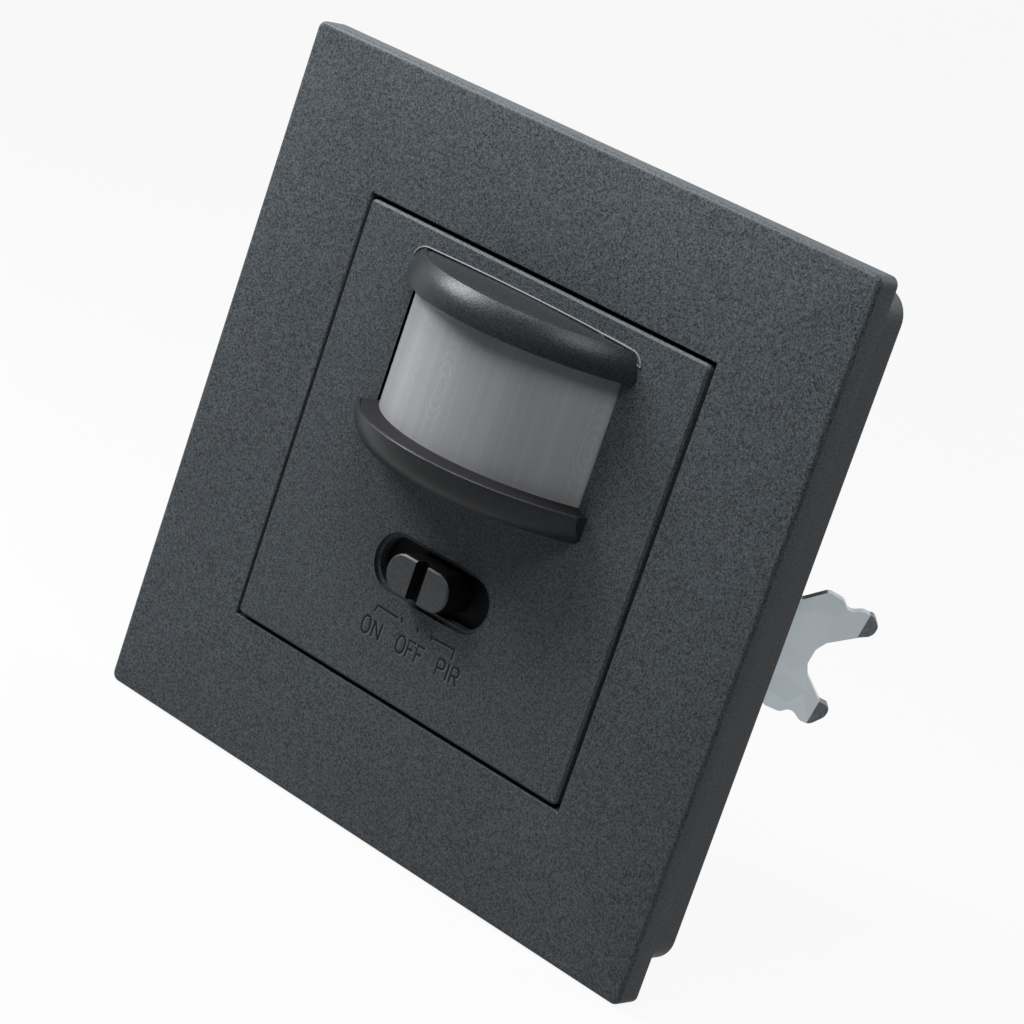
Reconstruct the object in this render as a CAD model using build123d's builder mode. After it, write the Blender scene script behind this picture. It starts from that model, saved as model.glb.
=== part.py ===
from build123d import *
from math import cos, radians, sin, sqrt, tan
import os

os.makedirs("parts", exist_ok=True)

# Motion detector insert with a square frame. Millimetres, +Z up, the front looks towards -Y.
# Y = 0 is the wall plane and the back of the support ring; X = Z = 0 is the middle.

# Trim frame
frame_size = 80.0
frame_corner = 1.0
frame_depth = 10.2
frame_bevel = 0.45
front_depth = 3.15
front_wall = 1.6
front_rim = 3.2
opening = 50.1
opening_corner = 0.5
opening_bevel = 0.25
collar_wall = 1.2
collar_depth = 6.7
rear_size = 75.2
rear_corner = 3.0
rear_wall = 1.8
rear_web = 1.5
rear_skirt_wall = 1.2
rear_rib = 1.2
rear_rib_pitch = 17.0
wall_screw_notch = 9.0
joint_gap = 0.05
peg_side = 2.8
skirt_room = 0.35
peg_inset = 0.8
peg_fit = 0.05
tab_out = 1.4
tab_width = 4.0
tab_thick = 1.5

# Support ring
ring_room = 0.8
ring_chamfer = 7.0
ring_thick = 1.2
ring_open_side = 4.0
ring_open_under = 3.0
ring_open_corner = 10.0
screw_fit = 0.2
wall_hole_r = 2.1
wall_hole_inset = 5.0
slot_fit = 0.15

# Centre cover
cover_gap = 0.45
cover_proud = 0.2
cover_wall = 1.6
cover_corner = 0.6
cover_bevel = 0.25
skirt_wall = 1.2
skirt_clear = 0.25
snap_spot = 12.0
snap_width = 5.0
snap_reach = 0.5
snap_height = 1.0
snap_y = -4.2

# Hood over and under the lens, turned about an upright axis behind the frame's face
hood_axis_back = 10.8
hood_half = 16.5
hood_margin = 2.0
upper_crease_r = 18.75
upper_crease_drop = 0.22
upper_edge_r = 19.96
upper_lip = 3.25
lens_window = 14.73
lower_edge_r = 20.8
lower_lip = 3.23
lower_crease_r = 19.2
lower_crease_drop = 0.17
lip_steps = 4

# Lens
lens_r = 18.55
lens_wall = 0.8
lens_fit = 0.1
lens_tuck = 1.25
lens_cap = 0.8
lens_flange_half = 17.6
lens_flange_out = 1.6
lens_flange_thick = 0.8

# Slot, knob and shutter
slot_length = 17.1
slot_height = 6.8
slot_margin = 14.35
slot_step_depth = 0.45
slot_ledge = 0.5
knob_length = 9.1
knob_height = 4.4
knob_proud = 2.7
knob_bevel = 0.2
groove_top = 1.7
groove_floor = 1.15
groove_depth = 1.45
knob_travel = 2.35
shutter_thick = 0.8
shutter_lap = 1.0
fork_room = 0.3
shutter_fit = 0.2
fork_wall = 1.0
fork_depth = 1.0
slide_fit = 0.05

# Slide switch
switch_length = 15.0
switch_height = 7.2
lever_length = 4.4
lever_height = 3.0
carriage_depth = 1.3
carriage_length = 8.0

# Front housing
housing_gap = 0.2
housing_wall = 1.4
housing_front = 1.2
housing_set_back = 3.0
clip_width = 2.4
clip_thick = 0.85
clip_hook = 0.9
clip_length = 1.2
clip_z = 7.2
clip_fit = 0.1
post_side = 3.4
post_sink = 0.2
window_fit = 0.3
screw_notch_side = 3.3
screw_notch_z = 4.2

# Sensor board and what stands on it
board_thick = 1.6
sensor_board_gap = 0.2
board_fit = 0.4
board_notch_x = 15.1
board_notch_z = 9.0
can_r = 4.55
can_height = 4.2
can_rim_r = 5.1
can_rim = 0.5
can_window = 3.6
holder_r = 4.9
holder_height = 1.6
can_window_depth = 0.2
eye_r = 1.5
eye_height = 3.0
eye_x = 9.0
trimmer_side = 7.2
trimmer_low = 3.4
trimmer_size = 6.4
rotor_r = 2.3
rotor_fit = 0.06
rotor_well = 1.2
rotor_slot = 0.8
trimmer_height = 3.0
rotor_proud = 0.1
rotor_window = 0.35

# Back housing
drum_r = 27.0
drum_wall = 1.6
drum_depth = 28.0
flat_side = 5.1
boss_in = 2.8
boss_sink = 1.24
boss_r = 2.6
boss_depth = 12.0
ring_screw_r = 1.25
ring_screw_head_r = 2.3
ring_screw_head = 1.05
ring_screw_length = 8.0
board_post = 3.0
board_post_x = 10.0
board_post_z = 19.5

# Main board and what stands on it
main_board_y = 14.0
main_board_fit = 0.4
relay_x = 19.0
relay_z = 15.4
relay_height = 12.5
part_room = 0.5
film_x = 18.0
film_z = 7.0
film_height = 9.0
film_side = 12.0
can_cap_r = 4.8
can_cap_height = 12.0
can_cap_x = 7.6
disc_r = 4.2
disc_thick = 3.6
disc_x = -7.8
disc_drop = 0.6
pin_size = 0.64
pin_pitch = 2.54
pin_count = 6
header_room = 0.9
header_depth = 2.5

# Terminal block
pole_pitch = 8.0
block_side = 4.6
block_inset = 4.4
block_height = 12.4
chamber_x = 6.0
chamber_z = 6.2
chamber_up = 8.4
chamber_floor = 0.8
block_shoulder = 1.0
block_back = 1.8
wire_side = 2.6
clamp_fit = 0.1
clamp_floor = 0.8
clamp_window = 2.7
clamp_window_x = 4.0
clamp_plate = 1.5
terminal_screw_r = 1.3
terminal_head_r = 2.1
terminal_head = 1.6
head_fit = 0.08
thread_fit = 0.03
driver_fit = 0.4

# Claws, their screws and nuts
claw_screw_x = 20.5
claw_screw_r = 1.3
claw_screw_end = 10.2
claw_head_r = 2.4
claw_head = 1.5
claw_thick = 1.0
claw_pivot_in = 3.0
claw_bend_out = 3.83
claw_angle = 40.0
claw_arm = 18.0
claw_tip = 2.0
claw_tip_angle = 35.0
claw_droop = 11.3
claw_foot_half = 4.5
claw_slot_in = 1.5
claw_slot_out = 4.55
claw_slot_side = 0.2
claw_outline_back = 8.0
claw_round = 0.9
nut_x = 3.9
nut_z = 7.0
nut_thick = 1.6

# Levels along Y
face_y = -frame_depth
front_back_y = face_y + front_depth
rear_front_y = front_back_y + joint_gap
cover_y = face_y - cover_proud
cover_back_y = cover_y + cover_wall
shutter_y = cover_back_y + shutter_fit
shutter_back_y = shutter_y + shutter_thick
housing_y = cover_y + housing_set_back
housing_inside_y = housing_y + housing_front
sensor_back_y = -ring_thick - sensor_board_gap
sensor_y = sensor_back_y - board_thick
main_back_y = main_board_y + board_thick
drum_inside_y = drum_depth - drum_wall
axis_y = face_y + hood_axis_back

skirt_back_y = -ring_thick - joint_gap - claw_head - skirt_clear

# Spans and places on the front, all from the opening
cover_size = opening - 2 * cover_gap
skirt_inner = cover_size - 2 * skirt_wall
housing_size = skirt_inner - 2 * housing_gap
housing_inner = housing_size - 2 * housing_wall
collar_size = opening + 2 * collar_wall
skirt_open = collar_size + 2 * skirt_room
upper_top_z = cover_size / 2 - hood_margin
upper_crease_z = upper_top_z - upper_crease_drop
upper_edge_z = upper_crease_z - upper_lip
lower_edge_z = upper_edge_z - lens_window
lower_crease_z = lower_edge_z - lower_lip
lower_base_z = lower_crease_z - lower_crease_drop
can_z = (upper_edge_z + lower_edge_z) / 2
slot_z = slot_margin - cover_size / 2
post_spot = housing_inner / 2 - post_side / 2 + post_sink
trimmer_x = housing_inner / 2 - trimmer_side
trimmer_z = trimmer_low - housing_inner / 2
far = 2 * frame_size

# Spans and places of the rear frame and the ring, from the rear frame's size
peg_spot = rear_size / 2 - rear_wall - peg_side / 2 - peg_inset
tab_x = rear_rib_pitch / 2
tab_z = skirt_open / 2 + tab_out
ring_size = rear_size - 2 * rear_wall - 2 * ring_room
wall_hole_pitch = ring_size - 2 * wall_hole_inset

# Spans and places in the drum, from its radius and the claw screws
drum_inner_r = drum_r - drum_wall
flat_x = claw_screw_x - flat_side
boss_x = flat_x - boss_in
boss_z = sqrt((drum_inner_r - boss_sink) ** 2 - boss_x**2)
ring_open_x = 2 * (claw_screw_x - ring_open_side)
ring_open_z = 2 * (boss_z - ring_open_under)
screw_notch_x = claw_screw_x - screw_notch_side
can_cap_z = sqrt((drum_inner_r - can_cap_r - part_room) ** 2 - can_cap_x**2)
disc_z = can_cap_z - disc_drop
header_z = can_cap_z - can_cap_r - header_room - pin_pitch / 2
relay_at_z = header_z - header_room - pin_pitch / 2 - relay_z / 2
film_at_x = film_x / 2 - film_side
film_at_z = film_z / 2 - sqrt((drum_inner_r - part_room) ** 2 - film_side**2)
block_low_z = block_inset - drum_r
block_high_z = block_low_z + block_height
chamber_at_z = block_low_z + chamber_up
claw_pivot_x = claw_screw_x - claw_pivot_in
claw_bend_x = claw_screw_x + claw_bend_out


def facing(y):
    """Return the upright plane at a level of Y, looking to the front."""
    return Plane.XZ.offset(-y)


def ring_of(radius, low, high):
    """Return an upright cylinder about the hood's axis between two heights."""
    centred = (Align.CENTER, Align.CENTER, Align.MIN)
    body = Cylinder(radius, high - low, align=centred, mode=Mode.PRIVATE)
    return body.moved(Location((0, axis_y, low)))


# Front frame: a flat shell with a rim, a collar round the opening and four pegs
with BuildPart() as front_frame:
    with BuildSketch(facing(front_back_y)):
        RectangleRounded(frame_size, frame_size, frame_corner)
    extrude(amount=front_depth)
    chamfer(front_frame.faces().sort_by(Axis.Y)[0].edges(), frame_bevel)
    with BuildSketch(facing(front_back_y)):
        Rectangle(frame_size - 2 * front_rim, frame_size - 2 * front_rim)
    extrude(amount=front_depth - front_wall, mode=Mode.SUBTRACT)
    with BuildSketch(facing(face_y + collar_depth)):
        Rectangle(collar_size, collar_size)
    extrude(amount=collar_depth - front_wall)
    with BuildSketch(facing(rear_front_y + rear_web + joint_gap)):
        with GridLocations(2 * peg_spot, 2 * peg_spot, 2, 2):
            Rectangle(peg_side, peg_side)
    extrude(amount=front_depth - front_wall + rear_web + 2 * joint_gap)
    with BuildSketch(facing(face_y + collar_depth)):
        RectangleRounded(opening, opening, opening_corner)
    extrude(amount=collar_depth, mode=Mode.SUBTRACT)
    rim = front_frame.faces().sort_by(Axis.Y)[0].inner_wires()
    chamfer(rim.edges(), opening_bevel)
front_frame.part.label = "front_frame"

# Rear frame: an outer wall, a web, a skirt notched for the wall screws, ribs and ring tabs
with BuildPart() as rear_frame:
    with BuildSketch(facing(0)):
        RectangleRounded(rear_size, rear_size, rear_corner)
        inside = rear_size - 2 * rear_wall
        RectangleRounded(inside, inside, rear_corner - rear_wall, mode=Mode.SUBTRACT)
    extrude(amount=-rear_front_y)
    with BuildSketch(facing(rear_front_y + rear_web)):
        RectangleRounded(rear_size - rear_wall, rear_size - rear_wall, rear_corner - rear_wall / 2)
        Rectangle(skirt_open, skirt_open, mode=Mode.SUBTRACT)
    extrude(amount=rear_web)
    with BuildSketch(facing(-ring_thick)):
        Rectangle(skirt_open + 2 * rear_skirt_wall, skirt_open + 2 * rear_skirt_wall)
        Rectangle(skirt_open, skirt_open, mode=Mode.SUBTRACT)
    extrude(amount=-rear_front_y - ring_thick)
    rib_span = (rear_size - rear_wall - skirt_open) / 2 - rear_skirt_wall / 2
    rib_mid = (rear_size - rear_wall + skirt_open + rear_skirt_wall) / 4
    with BuildSketch(facing(-ring_thick)):
        with GridLocations(2 * rib_mid, 2 * rear_rib_pitch, 2, 2):
            Rectangle(rib_span, rear_rib)
        with GridLocations(2 * rear_rib_pitch, 2 * rib_mid, 2, 2):
            Rectangle(rear_rib, rib_span)
    extrude(amount=-rear_front_y - rear_web / 2 - ring_thick)
    with BuildSketch(facing(-ring_thick)):
        with GridLocations(0, skirt_open + rear_skirt_wall, 1, 2):
            Rectangle(wall_screw_notch, rear_skirt_wall)
    extrude(amount=-rear_front_y - rear_web - ring_thick, mode=Mode.SUBTRACT)
    with BuildSketch(facing(-slot_fit)):
        with GridLocations(2 * tab_x, 2 * tab_z, 2, 2):
            Rectangle(tab_width, tab_thick)
    extrude(amount=-rear_front_y - rear_web / 2 - slot_fit)
    with BuildSketch(facing(rear_front_y + rear_web)):
        with GridLocations(2 * peg_spot, 2 * peg_spot, 2, 2):
            Rectangle(peg_side + 2 * peg_fit, peg_side + 2 * peg_fit)
    extrude(amount=rear_web, mode=Mode.SUBTRACT)
rear_frame.part.label = "rear_frame"

# Support ring: flat sheet steel with its opening, wall holes, tab slots and screw holes
with BuildPart() as support_ring:
    with BuildSketch(facing(0)) as ring_plan:
        Rectangle(ring_size, ring_size)
        chamfer(ring_plan.vertices(), ring_chamfer)
        RectangleRounded(ring_open_x, ring_open_z, ring_open_corner, mode=Mode.SUBTRACT)
        with Locations((0, wall_hole_pitch / 2), (0, -wall_hole_pitch / 2)):
            Circle(wall_hole_r, mode=Mode.SUBTRACT)
        with Locations((claw_screw_x, 0), (-claw_screw_x, 0)):
            Circle(claw_screw_r + screw_fit, mode=Mode.SUBTRACT)
        with GridLocations(2 * tab_x, 2 * tab_z, 2, 2):
            Rectangle(tab_width + 2 * slot_fit, tab_thick + 2 * slot_fit, mode=Mode.SUBTRACT)
        with Locations((-boss_x, boss_z), (boss_x, -boss_z)):
            Circle(ring_screw_r + screw_fit, mode=Mode.SUBTRACT)
    extrude(amount=ring_thick)
    with Locations(Plane.XZ.offset(ring_thick - ring_screw_head / 2)):
        with Locations((-boss_x, boss_z), (boss_x, -boss_z)):
            Cone(ring_screw_r + screw_fit, ring_screw_head_r + screw_fit, ring_screw_head,
                 mode=Mode.SUBTRACT)
support_ring.part.label = "support_ring"

# Ring screws: two countersunk screws on a diagonal that hold the drum against the ring
with BuildPart() as ring_screw_1:
    with Locations(Plane.XZ.offset(ring_thick - ring_screw_head / 2)):
        with Locations((-boss_x, boss_z)):
            Cone(ring_screw_r, ring_screw_head_r, ring_screw_head)
    with BuildSketch(facing(ring_screw_length)):
        with Locations((-boss_x, boss_z)):
            Circle(ring_screw_r)
    extrude(amount=ring_screw_length + ring_thick - ring_screw_head)
ring_screw_1.part.label = "ring_screw_1"

with BuildPart() as ring_screw_2:
    add(ring_screw_1.part.moved(Location((2 * boss_x, 0, -2 * boss_z))))
ring_screw_2.part.label = "ring_screw_2"

# Hood blank: both lips turned about the upright axis and cut off at the sides
hood_face_r = hood_axis_back + cover_proud
with BuildPart() as hood_blank:
    with BuildSketch(Plane.YZ):
        with BuildLine():
            upper_edge = (axis_y - upper_edge_r, upper_edge_z)
            upper_crease = (axis_y - upper_crease_r, upper_crease_z)
            upper_arc = TangentArc(upper_edge, upper_crease, tangent=(0, 1), mode=Mode.PRIVATE)
            Polyline(*[upper_arc @ (step / lip_steps) for step in range(lip_steps + 1)])
            Polyline(upper_crease, (axis_y - hood_face_r, upper_top_z), (axis_y, upper_top_z),
                     (axis_y, upper_edge_z), upper_edge)
        make_face()
        with BuildLine():
            lower_edge = (axis_y - lower_edge_r, lower_edge_z)
            lower_crease = (axis_y - lower_crease_r, lower_crease_z)
            lower_arc = TangentArc(lower_edge, lower_crease, tangent=(0, -1), mode=Mode.PRIVATE)
            Polyline(*[lower_arc @ (step / lip_steps) for step in range(lip_steps + 1)])
            Polyline(lower_crease, (axis_y - hood_face_r, lower_base_z), (axis_y, lower_base_z),
                     (axis_y, lower_edge_z), lower_edge)
        make_face()
    revolve(axis=Axis((0, axis_y, 0), (0, 0, 1)))
    with Locations((0, cover_y + cover_wall / 2, 0)):
        Box(2 * hood_half, far, far, align=(Align.CENTER, Align.MAX, Align.CENTER),
            mode=Mode.INTERSECT)

# Centre cover: plate, skirt, hood, lens window, slot for the knob and four snap bumps
cavity_low = lower_edge_z - lens_tuck
cavity_high = upper_edge_z + lens_tuck
with BuildPart() as centre_cover:
    with BuildSketch(facing(cover_back_y)):
        RectangleRounded(cover_size, cover_size, cover_corner)
    extrude(amount=cover_wall)
    chamfer(centre_cover.faces().sort_by(Axis.Y)[0].edges(), cover_bevel)
    with BuildSketch(facing(skirt_back_y)):
        RectangleRounded(cover_size, cover_size, cover_corner)
        Rectangle(skirt_inner, skirt_inner, mode=Mode.SUBTRACT)
    extrude(amount=skirt_back_y - cover_back_y)
    with BuildSketch(facing(snap_y + snap_height / 2)):
        with GridLocations(2 * snap_spot, skirt_inner - snap_reach + skirt_wall / 2, 2, 2):
            Rectangle(snap_width, snap_reach + skirt_wall / 2)
    extrude(amount=snap_height)
    add(hood_blank.part)
    add(ring_of(lens_r + lens_fit, cavity_low, cavity_high), mode=Mode.SUBTRACT)
    with BuildSketch(facing(cover_y + slot_step_depth)):
        with Locations((0, slot_z)):
            SlotOverall(slot_length, slot_height)
    extrude(amount=slot_step_depth, mode=Mode.SUBTRACT)
    with BuildSketch(facing(cover_back_y)):
        with Locations((0, slot_z)):
            SlotOverall(slot_length - 2 * slot_ledge, slot_height - 2 * slot_ledge)
    extrude(amount=cover_wall, mode=Mode.SUBTRACT)
centre_cover.part.label = "centre_cover"

# Sensor lens: a curved shell with a flange behind the cover
lens_low = cavity_low + lens_fit
lens_high = cavity_high - lens_fit
flange_y = cover_back_y + joint_gap
flange_back_y = flange_y + lens_flange_thick
with BuildPart() as sensor_lens:
    add(ring_of(lens_r, lens_low, lens_high))
    with Locations((0, flange_back_y, 0)):
        Box(far, far, far, align=(Align.CENTER, Align.MAX, Align.CENTER), mode=Mode.INTERSECT)
    with BuildSketch(facing(flange_back_y)):
        with Locations((0, (lens_low + lens_high) / 2)):
            Rectangle(2 * lens_flange_half, lens_high - lens_low + 2 * lens_flange_out)
    extrude(amount=lens_flange_thick)
    add(ring_of(lens_r - lens_wall, lens_low + lens_cap, lens_high - lens_cap),
        mode=Mode.SUBTRACT)
sensor_lens.part.label = "sensor_lens"

# Slider knob: an obround button with a grip groove, on a shutter plate with a fork behind it
knob_y = face_y - knob_proud
shutter_length = slot_length - 2 * slot_ledge + 2 * knob_travel + 2 * shutter_lap
shutter_height = slot_height - 2 * slot_ledge + 2 * shutter_lap
fork_span = lever_length + 2 * slide_fit + 2 * fork_wall
with BuildPart() as slider_knob:
    with BuildSketch(facing(shutter_y)):
        with Locations((0, slot_z)):
            SlotOverall(knob_length, knob_height)
    extrude(amount=shutter_y - knob_y)
    chamfer(slider_knob.faces().sort_by(Axis.Y)[0].edges(), knob_bevel)
    with BuildSketch(Plane.XY):
        Polygon((-groove_top / 2, knob_y), (groove_top / 2, knob_y),
                (groove_floor / 2, knob_y + groove_depth),
                (-groove_floor / 2, knob_y + groove_depth), align=None)
    extrude(amount=far, both=True, mode=Mode.SUBTRACT)
    with BuildSketch(facing(shutter_back_y)):
        with Locations((0, slot_z)):
            Rectangle(shutter_length, shutter_height)
    extrude(amount=shutter_thick)
    with BuildSketch(facing(shutter_back_y + fork_depth)):
        with Locations((0, slot_z)):
            Rectangle(fork_span, lever_height)
            Rectangle(lever_length + 2 * slide_fit, far, mode=Mode.SUBTRACT)
    extrude(amount=fork_depth)
slider_knob.part.label = "slider_knob"

# Switch actuator: the sliding carriage and its lever, which reaches the shutter
carriage_y = housing_inside_y + slide_fit
with BuildPart() as switch_actuator:
    with BuildSketch(facing(carriage_y + carriage_depth)):
        with Locations((0, slot_z)):
            Rectangle(carriage_length, lever_height)
    extrude(amount=carriage_depth)
    with BuildSketch(facing(carriage_y)):
        with Locations((0, slot_z)):
            Rectangle(lever_length, lever_height)
    extrude(amount=carriage_y - shutter_back_y)
switch_actuator.part.label = "switch_actuator"

# Slide switch body: a box with an open groove for the carriage
with BuildPart() as slide_switch_body:
    with BuildSketch(facing(sensor_y)):
        with Locations((0, slot_z)):
            Rectangle(switch_length, switch_height)
    extrude(amount=sensor_y - housing_inside_y)
    with BuildSketch(facing(carriage_y + carriage_depth + slide_fit)):
        with Locations((0, slot_z)):
            Rectangle(carriage_length + 2 * knob_travel + 2 * fork_room,
                      lever_height + 2 * slide_fit)
    extrude(amount=carriage_depth + 2 * slide_fit, mode=Mode.SUBTRACT)
slide_switch_body.part.label = "slide_switch_body"

# Front housing: a box behind the cover with windows, board posts, snap windows and ring clips
clip_out = ring_open_x / 2 - clip_fit
with BuildPart() as front_housing:
    with BuildSketch(facing(-ring_thick)):
        Rectangle(housing_size, housing_size)
        with GridLocations(2 * screw_notch_x + far, 0, 2, 1):
            Rectangle(far, 2 * screw_notch_z, mode=Mode.SUBTRACT)
    extrude(amount=-housing_y - ring_thick)
    with BuildSketch(facing(-ring_thick)):
        Rectangle(housing_inner, housing_inner)
        with GridLocations(2 * (screw_notch_x - housing_wall) + far, 0, 2, 1):
            Rectangle(far, 2 * (screw_notch_z + housing_wall), mode=Mode.SUBTRACT)
    extrude(amount=-housing_inside_y - ring_thick, mode=Mode.SUBTRACT)
    with BuildSketch(facing(sensor_y)):
        with GridLocations(2 * post_spot, 2 * post_spot, 2, 2):
            Rectangle(post_side, post_side)
    extrude(amount=sensor_y - housing_inside_y + housing_front / 2)
    with BuildSketch(facing(housing_inside_y)):
        with Locations((0, can_z)):
            Circle(can_r + window_fit)
        with Locations((eye_x, can_z)):
            Rectangle(2 * (eye_r + window_fit), 2 * (eye_r + window_fit))
        with Locations((trimmer_x, trimmer_z), (-trimmer_x, trimmer_z)):
            Circle(rotor_r + rotor_window)
        with Locations((0, slot_z)):
            Rectangle(fork_span + 2 * knob_travel + 2 * fork_room, lever_height + 2 * window_fit)
    extrude(amount=housing_front, mode=Mode.SUBTRACT)
    with BuildSketch(facing(snap_y + snap_height / 2 + window_fit)):
        with GridLocations(2 * snap_spot, housing_size - housing_wall, 2, 2):
            Rectangle(snap_width + 2 * window_fit, housing_wall)
    extrude(amount=snap_height + 2 * window_fit, mode=Mode.SUBTRACT)
    with BuildSketch(facing(clip_length + joint_gap)):
        with GridLocations(2 * clip_out - clip_thick, 2 * clip_z, 2, 2):
            Rectangle(clip_thick, clip_width)
    extrude(amount=clip_length + joint_gap - housing_inside_y + housing_front / 2)
    with BuildSketch(facing(clip_length + joint_gap)):
        with GridLocations(2 * clip_out + clip_hook - clip_thick / 2, 2 * clip_z, 2, 2):
            Rectangle(clip_hook + clip_thick / 2, clip_width)
    extrude(amount=clip_length)
front_housing.part.label = "front_housing"

# Sensor board with cut-outs for the claw screws and the clips
with BuildPart() as sensor_board:
    with BuildSketch(facing(sensor_back_y)):
        Rectangle(housing_inner - 2 * board_fit, housing_inner - 2 * board_fit)
        with GridLocations(2 * board_notch_x + far, 0, 2, 1):
            Rectangle(far, 2 * board_notch_z, mode=Mode.SUBTRACT)
    extrude(amount=board_thick)
sensor_board.part.label = "sensor_board"

# Sensor holder: the spacer ring that the infra-red sensor stands on
with BuildPart() as sensor_holder:
    with BuildSketch(facing(sensor_y)):
        with Locations((0, can_z)):
            Circle(holder_r)
    extrude(amount=holder_height)
sensor_holder.part.label = "sensor_holder"

# Infra-red sensor: a metal can with a rim and a square window
can_y = sensor_y - holder_height
with BuildPart() as infrared_sensor:
    with BuildSketch(facing(can_y)):
        with Locations((0, can_z)):
            Circle(can_rim_r)
    extrude(amount=can_rim)
    with BuildSketch(facing(can_y - can_rim)):
        with Locations((0, can_z)):
            Circle(can_r)
    extrude(amount=can_height - can_rim)
    with BuildSketch(facing(can_y - can_height + can_window_depth)):
        with Locations((0, can_z)):
            Rectangle(can_window, can_window)
    extrude(amount=can_window_depth, mode=Mode.SUBTRACT)
infrared_sensor.part.label = "infrared_sensor"

# Light sensor: a small round eye beside the infra-red sensor
with BuildPart() as light_sensor:
    with BuildSketch(facing(sensor_y)):
        with Locations((eye_x, can_z)):
            Circle(eye_r)
    extrude(amount=eye_height)
light_sensor.part.label = "light_sensor"

# Time trimmer: a square body with a round well, and its rotor with a driver slot
well_y = sensor_y - trimmer_height + rotor_well
rotor_y = housing_y - rotor_proud
with BuildPart() as time_trimmer_body:
    with BuildSketch(facing(sensor_y)):
        with Locations((-trimmer_x, trimmer_z)):
            Rectangle(trimmer_size, trimmer_size)
    extrude(amount=trimmer_height)
    with BuildSketch(facing(well_y)):
        with Locations((-trimmer_x, trimmer_z)):
            Circle(rotor_r + rotor_fit)
    extrude(amount=rotor_well, mode=Mode.SUBTRACT)
time_trimmer_body.part.label = "time_trimmer_body"

with BuildPart() as time_trimmer_rotor:
    with BuildSketch(facing(well_y - joint_gap)):
        with Locations((-trimmer_x, trimmer_z)):
            Circle(rotor_r)
    extrude(amount=well_y - joint_gap - rotor_y)
    with BuildSketch(facing(rotor_y + rotor_slot)):
        with Locations((-trimmer_x, trimmer_z)):
            Rectangle(rotor_slot, far)
    extrude(amount=rotor_slot, mode=Mode.SUBTRACT)
time_trimmer_rotor.part.label = "time_trimmer_rotor"

# Light trimmer: the same body and rotor on the other side
with BuildPart() as light_trimmer_body:
    mirror(time_trimmer_body.part, about=Plane.YZ)
light_trimmer_body.part.label = "light_trimmer_body"

with BuildPart() as light_trimmer_rotor:
    mirror(time_trimmer_rotor.part, about=Plane.YZ)
light_trimmer_rotor.part.label = "light_trimmer_rotor"

# Pin header: a strip of square pins that joins both boards
with BuildPart() as pin_header:
    with BuildSketch(facing(sensor_back_y + header_depth)):
        with Locations((0, header_z)):
            Rectangle(pin_count * pin_pitch, pin_pitch)
    extrude(amount=header_depth)
    with BuildSketch(facing(main_board_y)):
        with Locations((0, header_z)):
            with GridLocations(pin_pitch, 0, pin_count, 1):
                Rectangle(pin_size, pin_size)
    extrude(amount=main_board_y - sensor_back_y - header_depth / 2)
pin_header.part.label = "pin_header"

# Back housing: a drum with flats for the claws, screw bosses, board posts and terminal windows
block_half = pole_pitch + block_side
with BuildPart() as back_housing:
    with BuildSketch(facing(drum_depth)):
        Circle(drum_r)
        with GridLocations(2 * flat_x + far, 0, 2, 1):
            Rectangle(far, far, mode=Mode.SUBTRACT)
    extrude(amount=drum_depth)
    with BuildSketch(facing(drum_inside_y)):
        Circle(drum_inner_r)
        with GridLocations(2 * (flat_x - drum_wall) + far, 0, 2, 1):
            Rectangle(far, far, mode=Mode.SUBTRACT)
    extrude(amount=drum_inside_y, mode=Mode.SUBTRACT)
    with BuildSketch(facing(boss_depth)):
        with Locations((-boss_x, boss_z), (boss_x, -boss_z)):
            Circle(boss_r)
    extrude(amount=boss_depth)
    with BuildSketch(facing(drum_inside_y + drum_wall / 2)):
        with Locations((board_post_x, board_post_z), (-board_post_x, board_post_z)):
            Rectangle(board_post, board_post)
    extrude(amount=drum_inside_y + drum_wall / 2 - main_back_y)
    with BuildSketch(facing(drum_inside_y)):
        with Locations((0, -drum_r)):
            Rectangle(2 * block_half + 2 * clamp_fit, drum_r)
    extrude(amount=drum_inside_y - main_back_y, mode=Mode.SUBTRACT)
    with BuildSketch(facing(drum_depth)):
        with Locations((0, chamber_at_z)):
            Rectangle(2 * (pole_pitch + terminal_head_r + driver_fit),
                      2 * (terminal_head_r + driver_fit))
    extrude(amount=drum_wall, mode=Mode.SUBTRACT)
    with BuildSketch(facing(ring_screw_length + screw_fit)):
        with Locations((-boss_x, boss_z), (boss_x, -boss_z)):
            Circle(ring_screw_r + thread_fit)
    extrude(amount=ring_screw_length + screw_fit, mode=Mode.SUBTRACT)
back_housing.part.label = "back_housing"

# Main board: shaped to the drum
with BuildPart() as main_board:
    with BuildSketch(facing(main_back_y)):
        Circle(drum_inner_r - main_board_fit)
        with GridLocations(2 * (flat_x - drum_wall - main_board_fit) + far, 0, 2, 1):
            Rectangle(far, far, mode=Mode.SUBTRACT)
    extrude(amount=board_thick)
main_board.part.label = "main_board"

# Relay
with BuildPart() as relay:
    with BuildSketch(facing(main_board_y)):
        with Locations((0, relay_at_z)):
            Rectangle(relay_x, relay_z)
    extrude(amount=relay_height)
relay.part.label = "relay"

# Film capacitor
with BuildPart() as film_capacitor:
    with BuildSketch(facing(main_board_y)):
        with Locations((film_at_x, film_at_z)):
            Rectangle(film_x, film_z)
    extrude(amount=film_height)
film_capacitor.part.label = "film_capacitor"

# Electrolytic capacitor
with BuildPart() as electrolytic_capacitor:
    with BuildSketch(facing(main_board_y)):
        with Locations((can_cap_x, can_cap_z)):
            Circle(can_cap_r)
    extrude(amount=can_cap_height)
electrolytic_capacitor.part.label = "electrolytic_capacitor"

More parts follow.
